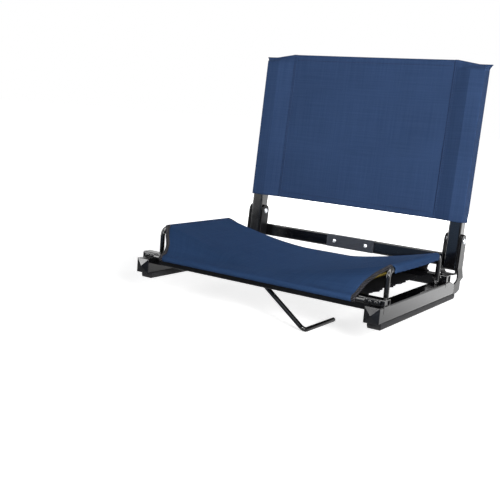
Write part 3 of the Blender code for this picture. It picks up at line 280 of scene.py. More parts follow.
def zinc_material():
    made, tree, place = blank_material("bright_zinc_plated_steel")
    cloud = add(tree, "ShaderNodeTexNoise", {"Vector": place, "Scale": per(2.381), "Detail": 4.0})
    knocks = add(tree, "ShaderNodeTexVoronoi", {"Vector": place, "Scale": per(1.111)})
    colour = add(tree, "ShaderNodeMix", {0: cloud, 6: "#b9bec8", 7: "#e3e6ea"}, data_type="RGBA")
    gloss = add(tree, "ShaderNodeMapRange", {"Value": cloud, "From Min": 0.3, "From Max": 0.7,
                                             "To Min": 0.26, "To Max": 0.46})
    bump = add(tree, "ShaderNodeBump", {"Height": knocks, "Strength": 0.1, "Distance": 0.0002})
    finish_material(tree, Base_Color=colour, Metallic=1.0, Roughness=gloss, Normal=bump)
    return made


zinc = zinc_material()


# Springs: four long extension springs under the seat, hooked into both cross bars.
# Hard-drawn wire, close wound, zinc plated and yellow chromated to an olive gold.

SPRING_WIRE = 0.0016
SPRING_OUTER = 0.0085
SPRING_PITCH = 0.0029
SPRING_CURLS = 66
SPRING_POINTS = 12
SPRING_PLACES = (-0.150, -0.050, 0.050, 0.150)
SPRING_FRONT = (0.0298, 0.0468)     # Y and Z of the hook in the front bar
SPRING_REAR = (0.2785, 0.0503)
SPRING_HOOK = 0.0035                # how far a hook goes down into its bar
SPRING_BEND = 0.0012
SPRING_TAPER = 6                    # points over which the coil grows from its axis


def yellow_zinc_material():
    made, tree, place = blank_material("yellow_chromated_spring_wire")
    film = add(tree, "ShaderNodeTexNoise", {"Vector": place, "Scale": per(4.167), "Detail": 5.0})
    colour = add(tree, "ShaderNodeMix", {0: film, 6: "#4d4416", 7: "#8a7736"}, data_type="RGBA")
    finish_material(tree, Base_Color=colour, Metallic=0.85, Roughness=0.42)
    return made


def wire(name, points, diameter, material):
    """A round wire along points, as a curve with closed ends."""
    data = bpy.data.curves.new(name, "CURVE")
    data.dimensions = "3D"
    data.bevel_depth = diameter / 2
    data.bevel_resolution = 2
    data.use_fill_caps = True
    spline = data.splines.new("POLY")
    spline.points.add(len(points) - 1)
    for place, point in zip(spline.points, points):
        place.co = (*point, 1.0)
    spline.use_smooth = True
    return show(name, data, material)


yellow_zinc = yellow_zinc_material()
for number, place in enumerate(SPRING_PLACES, 1):
    start, end = (Vector((place, y, z)) for y, z in (SPRING_FRONT, SPRING_REAR))
    along = (end - start).normalized()
    first = start + along * ((end - start).length - SPRING_CURLS * SPRING_PITCH) / 2
    radius = (SPRING_OUTER - SPRING_WIRE) / 2
    drop = Vector((0.0, 0.0, -SPRING_HOOK))
    last = SPRING_CURLS * SPRING_POINTS
    route = [start + drop, start + drop * 0.4, start + along * SPRING_BEND]
    for step in range(last + 1):
        turn = 2 * math.pi * step / SPRING_POINTS
        grow = min(1.0, step / SPRING_TAPER, (last - step) / SPRING_TAPER)
        spoke = Vector((math.cos(turn), 0.0, math.sin(turn))) * radius * grow
        route.append(first + along * SPRING_PITCH * step / SPRING_POINTS + spoke)
    route += [end - along * SPRING_BEND, end + drop * 0.4, end + drop]
    coil = wire("seat_spring_coil_%d" % number, route, SPRING_WIRE, yellow_zinc)
    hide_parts("seat_spring_%d" % number)
    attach(coil, "frame")


# Spring guard: a sheet of black needled felt between the two cross bars, under the springs.
# It is cut roughly, so its free sides are wavy, and it is notched round the hook's bracket.

GUARD_HALF = 0.1880
GUARD_FRONT = 0.0346
GUARD_NOTCH = 0.0512        # Y of its edge behind the bracket
NOTCH_HALF = 0.021
NOTCH_CORNER = 0.0012
GUARD_REAR = 0.2736
GUARD_HEIGHT = 0.0412
GUARD_THICK = 0.0012
GUARD_ROWS = 120
GUARD_COLUMNS = 64


def felt_material():
    made, tree, place = blank_material("black_needled_felt")
    fibre = add(tree, "ShaderNodeTexNoise", {"Vector": place, "Scale": per(0.8333), "Detail": 4.0})
    clump = add(tree, "ShaderNodeTexNoise", {"Vector": place, "Scale": per(9.091), "Detail": 3.0})
    tone = add(tree, "ShaderNodeMath", {0: fibre, 1: clump}, operation="MULTIPLY")
    colour = add(tree, "ShaderNodeMix", {0: tone, 6: "#08080a", 7: "#202125"}, data_type="RGBA")
    bump = add(tree, "ShaderNodeBump", {"Height": fibre, "Strength": 0.6, "Distance": 0.0006})
    finish_material(tree, Base_Color=colour, Roughness=0.95, Normal=bump, Specular_IOR_Level=0.1)
    return made


def travel(points):
    """How far along a line each of its points lies."""
    reach = [0.0]
    for one, two in zip(points, points[1:]):
        reach.append(reach[-1] + (two - one).length)
    return reach


def cloth_piece(name, grid, thick, material, closed=False):
    """A sheet of cloth from rows of points, with its threads laid out in metres along both ways."""
    rows = [[Vector(point) for point in row] for row in grid]
    shape = bmesh.new()
    layer = shape.loops.layers.uv.new("cloth")
    verts = [[shape.verts.new(point) for point in row] for row in rows]
    columns = len(rows[0])
    middle = rows[len(rows) // 2]
    across = travel(middle + middle[:1] if closed else middle)
    up = travel([row[columns // 2] for row in rows])
    for row in range(len(rows) - 1):
        for at in range(columns if closed else columns - 1):
            on = (at + 1) % columns
            face = shape.faces.new((verts[row][at], verts[row][on], verts[row + 1][on],
                                    verts[row + 1][at]))
            face.smooth = True
            spots = ((at, row), (at + 1, row), (at + 1, row + 1), (at, row + 1))
            for loop, (x, y) in zip(face.loops, spots):
                loop[layer].uv = (across[x], up[y])
    piece = solid(name, shape, material)
    if thick:
        layers = piece.modifiers.new("cloth", "SOLIDIFY")
        layers.thickness = thick
        layers.offset = 0.0
        layers.use_even_offset = True
    return piece


guard_rows = []
for step in range(GUARD_ROWS + 1):
    share = step / GUARD_ROWS
    droop = math.sin(math.pi * share)
    row = []
    for at in range(GUARD_COLUMNS + 1):
        across = 2 * at / GUARD_COLUMNS - 1
        torn = 0.0022 * math.sin(31 * share) + 0.0012 * math.sin(83 * share + across)
        x = across * (GUARD_HALF + abs(across) ** 6 * torn)
        notch = 1 / (1 + math.exp((abs(x) - NOTCH_HALF) / NOTCH_CORNER))
        front = GUARD_FRONT + (GUARD_NOTCH - GUARD_FRONT) * notch
        wave = 0.0008 * math.sin(17 * share + 2.1 * across) * abs(across) * droop
        row.append((x, front + (GUARD_REAR - front) * share, GUARD_HEIGHT + wave - 0.0007 * droop))
    guard_rows.append(row)
guard = cloth_piece("spring_guard", guard_rows, GUARD_THICK, felt_material())
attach(guard, "frame")


# Seat: one piece of navy polyester canvas, its hems rolled round two rods and its sides sewn round the
# arches, so that it hangs in a shallow curve. Its underside is drawn near black. Its top is painted
# shade: a copy of the back's canvas drawn a little darker and more matt, for a top that gets less light.

CANVAS_THICK = 0.0013
CANVAS_THREAD = 0.0011                      # threads are 0.5 mm, drawn at 1.1 mm so that they show
SEAT_GAP = 0.0003                           # between the cloth and what it goes round
ARCH_X = 0.2210
ARCH_HEIGHT = 0.0855
ARCH_ROD = 0.0085
ARCH_WRAP = ARCH_ROD / 2 + SEAT_GAP + CANVAS_THICK / 2
HEM_ROD = 0.0080
HEM_WRAP = HEM_ROD / 2 + SEAT_GAP + CANVAS_THICK / 2
FRONT_HEM = (0.0100, 0.0409, -1)            # Y and Z of the hem rod, and the way it faces
REAR_HEM = (0.2983, 0.0444, 1)
HEM_TURNS = (*range(4, 180, 18), 180)       # degrees round the rod, from its top
SEAT_FRONT = (0.1870, 0.0163, 0.0476)       # corner of the front hem, where the cloth leaves the bar
SEAT_REAR = (0.1880, 0.2920, 0.0511)
SEAT_SIDE = (0.0620, 0.2500)                # ends of the run that is sewn round the arch
SEAT_LEAVES = 22                            # degrees inside the arch's top, where the cloth leaves it
FRONT_CUT = ((0.0022, 0.0066, 0.0069), (0.0058, 0.0138, 0.0154))            # from the hem's corner
FRONT_RISE = ((-0.0151, -0.0209, -0.0138), (-0.0058, -0.0100, -0.0053))     # from the arch's run
REAR_FALL = ((-0.0065, 0.0094, -0.0052), (-0.0156, 0.0205, -0.0148))
REAR_CUT = ((0.0037, -0.0088, 0.0100),)
SEAT_RISE = 0.0065                          # how far the middle stands above a line from hem to hem
SEAT_SLACK = 1.6                            # curve up to the arches: 1 is straight, 2 a parabola
SEAT_ROWS = 72
SEAT_COLUMNS = 48
POCKET_ROWS = 40
SKIRT_STEP = (0.0001, 0.0012)               # in and down, for each of the skirt's five steps


def canvas_material(name, dark, light, roughness, level):
    """Plain weave in two shades of yarn, with uneven threads both ways and a few faded clouds."""
    made, tree, place = blank_material(name)
    flat = add(tree, "ShaderNodeUVMap", uv_map="cloth")
    threads = add(tree, "ShaderNodeVectorMath", {0: flat, 3: 1 / CANVAS_THREAD}, operation="SCALE")
    across = add(tree, "ShaderNodeSeparateXYZ", {"Vector": threads})
    crowns = []
    for axis in ("X", "Y"):
        turn = add(tree, "ShaderNodeMath", {0: across.outputs[axis], 1: math.pi}, operation="MULTIPLY")
        wave = add(tree, "ShaderNodeMath", {0: turn}, operation="SINE")
        crowns.append(add(tree, "ShaderNodeMath", {0: wave}, operation="ABSOLUTE"))
    over = add(tree, "ShaderNodeTexChecker", {"Vector": threads, "Scale": 1.0})
    weave = add(tree, "ShaderNodeMix", {0: over.outputs["Fac"], 2: crowns[0], 3: crowns[1]})
    yarns = []
    for scale in ((per(2.381), per(111.1), 1.0), (per(111.1), per(2.381), 1.0)):
        drawn = add(tree, "ShaderNodeMapping", {"Vector": flat, "Scale": scale})
        yarns.append(add(tree, "ShaderNodeTexNoise", {"Vector": drawn, "Scale": 1.0, "Detail": 3.0}))
    slub = add(tree, "ShaderNodeMath", {0: yarns[0], 1: yarns[1]}, operation="ADD")
    cloud = add(tree, "ShaderNodeTexNoise", {"Vector": place, "Scale": per(111.1), "Detail": 4.0,
                                             "Roughness": 0.55})
    tone = add(tree, "ShaderNodeMapRange", {"Value": slub, "From Min": 0.55, "From Max": 1.45})
    yarn = add(tree, "ShaderNodeMix", {0: tone, 6: dark, 7: light}, data_type="RGBA")
    aged = add(tree, "ShaderNodeMapRange", {"Value": cloud, "From Min": 0.3, "From Max": 0.7,
                                            "To Min": 0.93, "To Max": 1.06})
    # painted shade and highlight: the yarn is drawn darker in the gaps of the weave and a little lighter on
    # its crowns
    pit = add(tree, "ShaderNodeMapRange", {"Value": weave, "To Min": 0.86, "To Max": 1.04})
    shade = add(tree, "ShaderNodeMath", {0: aged, 1: pit}, operation="MULTIPLY")
    colour = add(tree, "ShaderNodeVectorMath", {0: yarn, 3: shade}, operation="SCALE")
    bump = add(tree, "ShaderNodeBump", {"Height": weave, "Strength": 0.35, "Distance": 0.0004})
    slack = add(tree, "ShaderNodeBump", {"Height": slub, "Strength": 0.12, "Distance": 0.0006,
                                         "Normal": bump})
    finish_material(tree, Base_Color=colour, Roughness=roughness, Normal=slack, Specular_IOR_Level=level)
    return made


# The seat's underside, drawn near black with a fine mottle.
def near_black_underside_material():
    made, tree, place = blank_material("near_black_seat_underside")
    underside_mottle = add(tree, "ShaderNodeTexNoise", {"Vector": place, "Scale": per(1.923), "Detail": 3.0})
    colour = add(tree, "ShaderNodeMix", {0: underside_mottle, 6: "#0d0e11", 7: "#1a1c21"}, data_type="RGBA")
    bump = add(tree, "ShaderNodeBump", {"Height": underside_mottle, "Strength": 0.2, "Distance": 0.0003})
    finish_material(tree, Base_Color=colour, Roughness=0.55, Normal=bump, Specular_IOR_Level=0.3)
    return made


def smooth_line(points, counts):
    """Points on a smooth line through the given ones, with this many steps in each stretch."""
    ends = [points[0]] + list(points) + [points[-1]]
    line = []
    for at in range(len(points) - 1):
        p0, p1, p2, p3 = (np.array(ends[at + k], float) for k in range(4))
        for step in range(counts[at]):
            t = step / counts[at]
            line.append(0.5 * (2 * p1 + (p2 - p0) * t + (2 * p0 - 5 * p1 + 4 * p2 - p3) * t * t
                               + (3 * p1 - p0 - 3 * p2 + p3) * t ** 3))
    line.append(np.array(points[-1], float))
    return line


def seat_edge():
    """The seat's right edge from front to rear: up the cut corner, along the arch, and down again."""
    leaves = math.radians(SEAT_LEAVES)
    side = ARCH_X - ARCH_WRAP * math.sin(leaves)
    top = ARCH_HEIGHT + ARCH_WRAP * math.cos(leaves)
    fore, aft = ((side, y, top) for y in SEAT_SIDE)
    front_line = smooth_line([SEAT_FRONT, *np.add(SEAT_FRONT, FRONT_CUT), *np.add(fore, FRONT_RISE), fore],
                             (3, 3, 5, 4, 4))
    rear_line = smooth_line([aft, *np.add(aft, REAR_FALL), *np.add(SEAT_REAR, REAR_CUT), SEAT_REAR],
                            (4, 4, 5, 3))
    straight = SEAT_ROWS - len(front_line) - len(rear_line)
    level = [np.array((side, fore[1] + (aft[1] - fore[1]) * step / straight, top))
             for step in range(1, straight)]
    return front_line, level, rear_line


def on_hem(x, hem, turn):
    """A point of the cloth round a hem's rod, by degrees from the rod's top towards the outside."""
    y, z, way = hem
    angle = math.radians(turn)
    return (x, y + way * HEM_WRAP * math.sin(angle), z + HEM_WRAP * math.cos(angle))


front_line, level, rear_line = seat_edge()
edge = np.array(front_line + level + rear_line)
spread = np.linspace(-1.0, 1.0, SEAT_COLUMNS + 1)
along_seat = (edge[:, 1] - edge[0, 1]) / (edge[-1, 1] - edge[0, 1])
hollow = edge[0, 2] + (edge[-1, 2] - edge[0, 2]) * along_seat + 4 * SEAT_RISE * along_seat * (1 - along_seat)
seat_grid = edge[:, None, :] * np.stack([spread, np.ones_like(spread), np.zeros_like(spread)], axis=1)[None]
seat_grid[:, :, 2] = hollow[:, None] + (edge[:, 2] - hollow)[:, None] * np.abs(spread) ** SEAT_SLACK

front_roll, rear_roll = ([[on_hem(point[0], hem, turn) for point in row] for turn in HEM_TURNS]
                         for hem, row in ((FRONT_HEM, seat_grid[0]), (REAR_HEM, seat_grid[-1])))
seat_rows = front_roll[::-1] + [list(row) for row in seat_grid] + rear_roll
# painted shade: the seat's canvas is a darker copy of the back's, for a top that gets less light
painted_shade_canvas = canvas_material("navy_canvas_painted_shade", "#273d5f", "#30486e", 0.80, 0.04)
seat = cloth_piece("seat_canvas", seat_rows, CANVAS_THICK, painted_shade_canvas)
seat.data.materials.append(near_black_underside_material())
seat.modifiers["cloth"].material_offset = 1
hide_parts("seat_sling")
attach(seat, "frame")

for side, sign in SIDES:
    pocket = []
    for step in range(POCKET_ROWS + 1):
        y = SEAT_SIDE[0] + (SEAT_SIDE[1] - SEAT_SIDE[0]) * step / POCKET_ROWS
        sag = 0.0012 * math.sin(math.pi * step / POCKET_ROWS) + 0.0004 * math.sin(1.7 * step)
        row = []
        for turn in range(-SEAT_LEAVES, 91, 8):
            angle = math.radians(turn)
            row.append((sign * (ARCH_X + ARCH_WRAP * math.sin(angle)), y,
                        ARCH_HEIGHT + ARCH_WRAP * math.cos(angle)))
        for down in range(1, 6):
            row.append((sign * (ARCH_X + ARCH_WRAP - SKIRT_STEP[0] * down), y,
                        ARCH_HEIGHT - SKIRT_STEP[1] * down - sag * down / 5))
        pocket.append(row)
    # painted shade: the pockets take the seat's darker copy of the canvas
    skirt = cloth_piece(side + "_seat_pocket", pocket, CANVAS_THICK, painted_shade_canvas)
    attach(skirt, "frame")


# Binding: grosgrain tape folded over the seat's four cut corners and sewn through.
# Polyester in charcoal, with cross ribs about 1.5 mm apart, drawn at 3.4 mm so that they show.

TAPE_RIB = 0.0034
TAPE_HALF_WIDTH = 0.0036
TAPE_HALF_THICK = 0.0017
TAPE_CORNERS = 18           # points round it
TAPE_TURNS = (30, 70, 110, 150)     # degrees round the hem rod that it follows the cloth


def tape_material():
    made, tree, place = blank_material("charcoal_grosgrain_tape")
    flat = add(tree, "ShaderNodeUVMap", uv_map="cloth")
    laid = add(tree, "ShaderNodeSeparateXYZ", {"Vector": flat})
    slope = add(tree, "ShaderNodeMath", {0: laid.outputs["X"], 1: 0.7, 2: laid.outputs["Y"]},
                operation="MULTIPLY_ADD")
    turn = add(tree, "ShaderNodeMath", {0: slope, 1: 2 * math.pi / TAPE_RIB}, operation="MULTIPLY")
    wave = add(tree, "ShaderNodeMath", {0: turn}, operation="SINE")
    rib = add(tree, "ShaderNodeMapRange", {"Value": wave, "From Min": -0.3, "From Max": 0.7})
    fuzz = add(tree, "ShaderNodeTexNoise", {"Vector": place, "Scale": per(1.111), "Detail": 3.0})
    # painted shade and highlight: the ribs make the tape near black in their grooves and grey on their crowns;
    # the fuzz is random tone
    tone = add(tree, "ShaderNodeMath", {0: rib, 1: fuzz}, operation="MULTIPLY")
    colour = add(tree, "ShaderNodeMix", {0: tone, 6: "#030304", 7: "#504e56"}, data_type="RGBA")
    bump = add(tree, "ShaderNodeBump", {"Height": rib, "Strength": 0.8, "Distance": 0.0008})
    finish_material(tree, Base_Color=colour, Roughness=0.85, Normal=bump, Specular_IOR_Level=0.25)
    return made


def at_reach(travelled, reach):
    """The stretch of a line that this distance falls in, and the share of it that is passed."""
    at = min(max(int(np.searchsorted(travelled, reach)) - 1, 0), len(travelled) - 2)
    return at, (reach - travelled[at]) / (travelled[at + 1] - travelled[at])


def patch(piece, outlines, smooth=False):
    """Add faces through these vertices of a piece, and turn all its faces outwards."""
    shape = bmesh.new()
    shape.from_mesh(piece.data)
    shape.verts.ensure_lookup_table()
    for outline in outlines:
        shape.faces.new([shape.verts[at] for at in outline]).smooth = smooth
    bmesh.ops.recalc_face_normals(shape, faces=shape.faces)
    shape.to_mesh(piece.data)
    shape.free()


def tape_along(name, line, faces, material):
    """A folded tape along a line of points: faces holds the cloth's upward direction at each point."""
    points = [Vector(point) for point in line]
    travelled = travel(points)
    count = max(12, int(travelled[-1] / TAPE_RIB) * 6)
    rings = []
    for step in range(count + 1):
        reach = travelled[-1] * step / count
        at, share = at_reach(travelled, reach)
        spot = points[at].lerp(points[at + 1], share)
        run = (points[min(at + 2, len(points) - 1)] - points[max(at - 1, 0)]).normalized()
        face = Vector(faces[at]).lerp(Vector(faces[at + 1]), share)
        out = run.cross(face).normalized()
        face = out.cross(run).normalized()
        rib = 1.0 + 0.16 * math.cos(2 * math.pi * reach / TAPE_RIB)
        ring = []
        for corner in range(TAPE_CORNERS):
            turn = 2 * math.pi * corner / TAPE_CORNERS
            flat = abs(math.cos(turn)) ** 0.55 * math.copysign(1, math.cos(turn))
            high = abs(math.sin(turn)) ** 0.8 * math.copysign(1, math.sin(turn))
            ring.append(spot + out * flat * TAPE_HALF_WIDTH + face * high * TAPE_HALF_THICK * rib)
        rings.append(ring)
    piece = cloth_piece(name, rings, 0.0, material, closed=True)
    patch(piece, [range(first, first + TAPE_CORNERS) for first in (0, count * TAPE_CORNERS)])
    return piece


tape = tape_material()
roll_front = [on_hem(SEAT_FRONT[0], FRONT_HEM, turn) for turn in reversed(TAPE_TURNS)]
roll_rear = [on_hem(SEAT_REAR[0], REAR_HEM, turn) for turn in TAPE_TURNS]
for where, line in (("front", roll_front + front_line), ("rear", rear_line + roll_rear)):
    for side, sign in SIDES:
        mirrored = [(sign * point[0], point[1], point[2]) for point in line]
        faces = []
        for at, point in enumerate(mirrored):
            ahead, behind = mirrored[min(at + 1, len(mirrored) - 1)], mirrored[max(at - 1, 0)]
            run = Vector(ahead) - Vector(behind)
            face = run.cross(Vector((-sign, 0.0, 0.0)))
            faces.append(face.normalized() * (1 if face.z >= 0 or abs(face.y) > abs(face.z) else -1))
        strip = tape_along("%s_%s_tape" % (where, side), mirrored, faces, tape)
        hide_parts("%s_%s_binding" % (where, side))
        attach(strip, "frame")


# Hinge brackets: a flat arm from each rail and a bent strap under the foot of each upright, on one pin.
# Stamped from 2 to 2.5 mm strip and powder coated; the strap has been rubbed dull by the upright's
# foot. The pins and washers are zinc plated.

paint(both("_hinge_arm"), powder_coat_material("gloss_black_powder_coat_on_strip", 0.12, 0.24, 0.10))
paint(both("_hinge_cradle"), powder_coat_material("rubbed_black_powder_coat", 0.42, 0.55, 0.12))
paint(both("_hinge_pin", "_hinge_washer"), zinc)


# Back frame: two square tube uprights and a flat tube behind them, joined in the middle by two
# riveted plates. The plates are rolled strip, oiled black, so they are duller and greyer than the
# coated tubes, with a painted highlight drawn lighter along their edges. The same moulding caps the uprights.

def plate_material():
    made, tree, place = blank_material("satin_black_oiled_steel")
    rolled = add(tree, "ShaderNodeMapping", {"Vector": place, "Scale": (per(16.67), per(1.111), per(1.111))})
    grain = add(tree, "ShaderNodeTexNoise", {"Vector": rolled, "Scale": 1.0, "Detail": 3.0})
    soft_edge = add(tree, "ShaderNodeBevel", {"Radius": 0.0006}, samples=6)
    true_face = add(tree, "ShaderNodeNewGeometry").outputs["True Normal"]
    agree = add(tree, "ShaderNodeVectorMath", {0: soft_edge, 1: true_face}, operation="DOT_PRODUCT")
    edge = add(tree, "ShaderNodeMapRange", {"Value": agree, "From Min": 0.995, "From Max": 0.85})
    face = add(tree, "ShaderNodeMix", {0: grain, 6: "#1b1e25", 7: "#2c3039"}, data_type="RGBA")
    # painted highlight: the plate's edges are drawn lighter grey
    colour = add(tree, "ShaderNodeMix", {0: edge, 6: face, 7: "#5a5d64"}, data_type="RGBA")
    finish_material(tree, Base_Color=colour, Roughness=0.38, Normal=soft_edge, Specular_IOR_Level=0.5)
    return made


paint(both("_upright", "_stop_bar"), powder_coat)
paint(["front_splice_plate", "rear_splice_plate"], plate_material())
paint(both("_upright_cap"), moulded_plastic)
paint(both("_splice_rivet"), zinc)


# Back panel: the same canvas as the seat, doubled at its top and bottom hems.
# It is sewn between two sleeves and is drawn tight when they go over the uprights.

LEAN = math.radians(4.5)
PIVOT = (0.3550, 0.1030)
PANEL_SEAM = 0.1720
PANEL_LOW = 0.0330
PANEL_HIGH = 0.3240
PANEL_HALF = CANVAS_THICK / 2
PANEL_BOW = 0.0020
PANEL_SLACK = 0.00035
PANEL_ROUND = 0.0011                # where the cloth turns over at its top and bottom edge
PANEL_ROWS = 60
PANEL_COLUMNS = 96
HEM_DEEP = 0.0130
HEM_ADDS = 0.00025                  # to each half of the thickness
HEM_FADE = 0.0012


def on_back(x, y, z):
    """A point given along the leaning uprights from the hinge pin, in the world."""
    return (x, PIVOT[0] + y * math.cos(LEAN) + z * math.sin(LEAN),
            PIVOT[1] - y * math.sin(LEAN) + z * math.cos(LEAN))


def bow(x):
    """How far the panel stands back from the line between its seams."""
    return PANEL_BOW * math.cos(math.pi * min(abs(x) / PANEL_SEAM, 1.0) / 2)


def hem_half(z):
    """Half the panel's thickness: one layer, or two more where a hem is turned in."""
    inside = min(z - PANEL_LOW, PANEL_HIGH - z) - HEM_DEEP
    return PANEL_HALF + HEM_ADDS / (1 + math.exp(inside / HEM_FADE))


tall = PANEL_HIGH - PANEL_LOW
profile = []
for step in range(PANEL_ROWS + 1):
    z = PANEL_LOW + PANEL_ROUND + (tall - 2 * PANEL_ROUND) * step / PANEL_ROWS
    profile.append((-hem_half(z), z))
profile += [(0.0, PANEL_HIGH)] + [(-y, z) for y, z in reversed(profile)] + [(0.0, PANEL_LOW)]
panel_rows = []
for y, z in profile:
    row = []
    for x in np.linspace(-PANEL_SEAM, PANEL_SEAM, PANEL_COLUMNS + 1):
        ripple = math.sin(41 * x + 3 * math.sin(19 * z)) * math.sin(math.pi * (z - PANEL_LOW) / tall)
        row.append(on_back(x, y + bow(x) + PANEL_SLACK * ripple, z))
    panel_rows.append(row)
canvas = canvas_material("navy_polyester_canvas", "#2f4467", "#3b5077", 0.76, 0.06)
panel = cloth_piece("back_panel_canvas", panel_rows, 0.0, canvas)
columns = PANEL_COLUMNS + 1
first = (len(profile) - 1) * columns
patch(panel, [(first + at, first + at + 1, at + 1, at) for at in range(PANEL_COLUMNS)], smooth=True)
patch(panel, [range(end, len(profile) * columns, columns) for end in (0, PANEL_COLUMNS)])
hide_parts("back_panel")
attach(panel, "backrest")


# Sleeves: a strip of canvas folded round each upright, with both edges lapped on the panel.
# The top is sewn flat, which spreads the fold into a small ear beyond the tube.

SLEEVE_THICK = 0.0010
SLEEVE_LAP = 0.0062
TUBE_NEAR = 0.2022                  # X of the upright's two sides
TUBE_FAR = 0.2262
TUBE_DEEP = 0.0120                  # half of its depth
SLEEVE_CLEAR = 0.0012               # from the tube to the middle of the cloth
SLEEVE_CREASE = 0.0011              # radius of the cloth round the tube's edges
SLEEVE_ROWS = 63
SLANT_HALF = 0.014                  # half the reach of the slanted strip's slack
EAR_X = 0.2368
EAR_LOW = 0.3070
EAR_DROP = 0.0070
EAR_HALF = 0.0006                   # half the thickness where the top is sewn flat
EAR_ROWS = 16
CLOTH_POINTS = 0.0045               # apart, along the section


def rounded(corners, radius, steps):
    """A line through the given corners with its inner ones rounded."""
    line = [corners[0]]
    for before, corner, after in zip(corners, corners[1:], corners[2:]):
        one, two = (Vector(point) - Vector(corner) for point in (before, after))
        reach = min(radius, one.length * 0.45, two.length * 0.45)
        start, end = (Vector(corner) + way.normalized() * reach for way in (one, two))
        for step in range(steps + 1):
            share = step / steps
            spot = start.lerp(Vector(corner), share).lerp(Vector(corner).lerp(end, share), share)
            line.append((spot.x, spot.y))
    return line + [corners[-1]]


def sleeve_section():
    """Half of the sleeve's outline in X and Y, from the lap's edge out to the middle of its side."""
    lap = PANEL_HALF + SLEEVE_THICK / 2
    deep = TUBE_DEEP + SLEEVE_CLEAR
    side_x = TUBE_FAR + SLEEVE_CLEAR
    corners = [(PANEL_SEAM - SLEEVE_LAP, -0.0001), (PANEL_SEAM - SLEEVE_LAP + 0.0022, -lap),
               (PANEL_SEAM, -lap), (TUBE_NEAR - 0.0010, -deep), (side_x, -deep - 0.0004),
               (side_x + 0.0003, 0.0)]
    line = rounded(corners, SLEEVE_CREASE, 5)
    full = [line[0]]
    for one, two in zip(line, line[1:]):
        parts = max(1, round((Vector(two) - Vector(one)).length / CLOTH_POINTS))
        full += [(one[0] + (two[0] - one[0]) * step / parts, one[1] + (two[1] - one[1]) * step / parts)
                 for step in range(1, parts + 1)]
    return full


half = sleeve_section()
whole = half + [(x, -y) for x, y in reversed(half[:-1])]
side_x = half[-1][0]
for side, sign in SIDES:
    rows = []
    for step in range(SLEEVE_ROWS + 1):
        z = PANEL_LOW + (EAR_LOW - PANEL_LOW) * step / SLEEVE_ROWS
        row = []
        for x, y in whole:
            slant = max(0.0, 1 - abs((x - (PANEL_SEAM + TUBE_NEAR) / 2) / SLANT_HALF))
            breath = slant * (0.0005 * math.sin(23 * z + sign) + 0.0003 * math.sin(67 * z + 2 * sign))
            drawn = bow(x) if x < PANEL_SEAM else 0.0
            row.append(on_back(sign * x, y + math.copysign(breath, y) + drawn, z))
        rows.append(row)
    for step in range(1, EAR_ROWS + 1):
        share = step / EAR_ROWS
        row = []
        for x, y in whole:
            outward = max(0.0, (x - PANEL_SEAM) / (side_x - PANEL_SEAM))
            ear = max(0.0, (outward - 0.72) / 0.28)
            wide = x + (EAR_X - side_x) * ear ** 1.3 * share ** 1.6
            top = PANEL_HIGH - EAR_DROP * min(1.0, 1.35 * outward)
            flat = math.copysign(min(abs(y), EAR_HALF), y)
            pucker = 0.0007 * math.sin(9.0 * outward + 2 * sign) * math.sin(math.pi * share)
            drawn = bow(x) if x < PANEL_SEAM else 0.0
            row.append(on_back(sign * wide, y + (flat - y) * share ** 0.85 + math.copysign(pucker, y) + drawn,
                               EAR_LOW + (top - EAR_LOW) * share))
        rows.append(row)
    if sign < 0:        # so that the mirrored faces look outwards too
        rows = [row[::-1] for row in rows]
    sleeve = cloth_piece(side + "_sleeve_canvas", rows, SLEEVE_THICK, canvas)
    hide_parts(side + "_sleeve")
    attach(sleeve, "backrest")


# Seams: two rows of lockstitch through each lap, one through each hem, in navy polyester thread.
# Each stitch is 3 mm, pulled slightly into the cloth.

STITCH = 0.0030
THREAD = 0.00065
LAP_ROWS = (0.0012, 0.0048)         # from the seam towards the middle
ROW_INSET = 0.0020                  # of a row from the cloth's edge
THREAD_LIFT = 0.0002
STITCH_SHAPE = ((0.0, 0.35, -0.5), (0.2, 1.0, 0.3), (0.5, 1.0, 0.55), (0.8, 1.0, 0.3), (1.0, 0.35, -0.5))


def thread_material():
    made, tree, place = blank_material("navy_polyester_thread")
    ply = add(tree, "ShaderNodeTexNoise", {"Vector": place, "Scale": per(0.4)})
    colour = add(tree, "ShaderNodeMix", {0: ply, 6: "#0f1626", 7: "#1a2540"}, data_type="RGBA")
    finish_material(tree, Base_Color=colour, Roughness=0.6, Specular_IOR_Level=0.2)
    return made


def stitches(name, lines, body, material):
    """Rows of stitches: each line is a list of points on the cloth, with the way out of it."""
    shape = bmesh.new()
    for points, out in lines:
        points = [Vector(point) for point in points]
        out = Vector(out).normalized()
        travelled = travel(points)
        for number in range(int(travelled[-1] / STITCH)):
            ends = []
            for share in (0.12, 0.88):
                at, part = at_reach(travelled, (number + share) * STITCH)
                ends.append(points[at].lerp(points[at + 1], part))
            wide = (ends[1] - ends[0]).normalized().cross(out)
            rings = []
            for share, size, lift in STITCH_SHAPE:
                spot = ends[0].lerp(ends[1], share) + out * THREAD * lift
                ring = []
                for turn in (math.pi * k / 3 for k in range(6)):
                    spoke = wide * math.cos(turn) + out * math.sin(turn)
                    ring.append(shape.verts.new(spot + spoke * THREAD / 2 * size))
                rings.append(ring)
            for low, high in zip(rings, rings[1:]):
                for k in range(6):
                    on = (k + 1) % 6
                    shape.faces.new((low[k], low[on], high[on], high[k])).smooth = True
            shape.faces.new(rings[0][::-1])
            shape.faces.new(rings[-1])
    bmesh.ops.recalc_face_normals(shape, faces=shape.faces)
    piece = solid(name, shape, material)
    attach(piece, body)


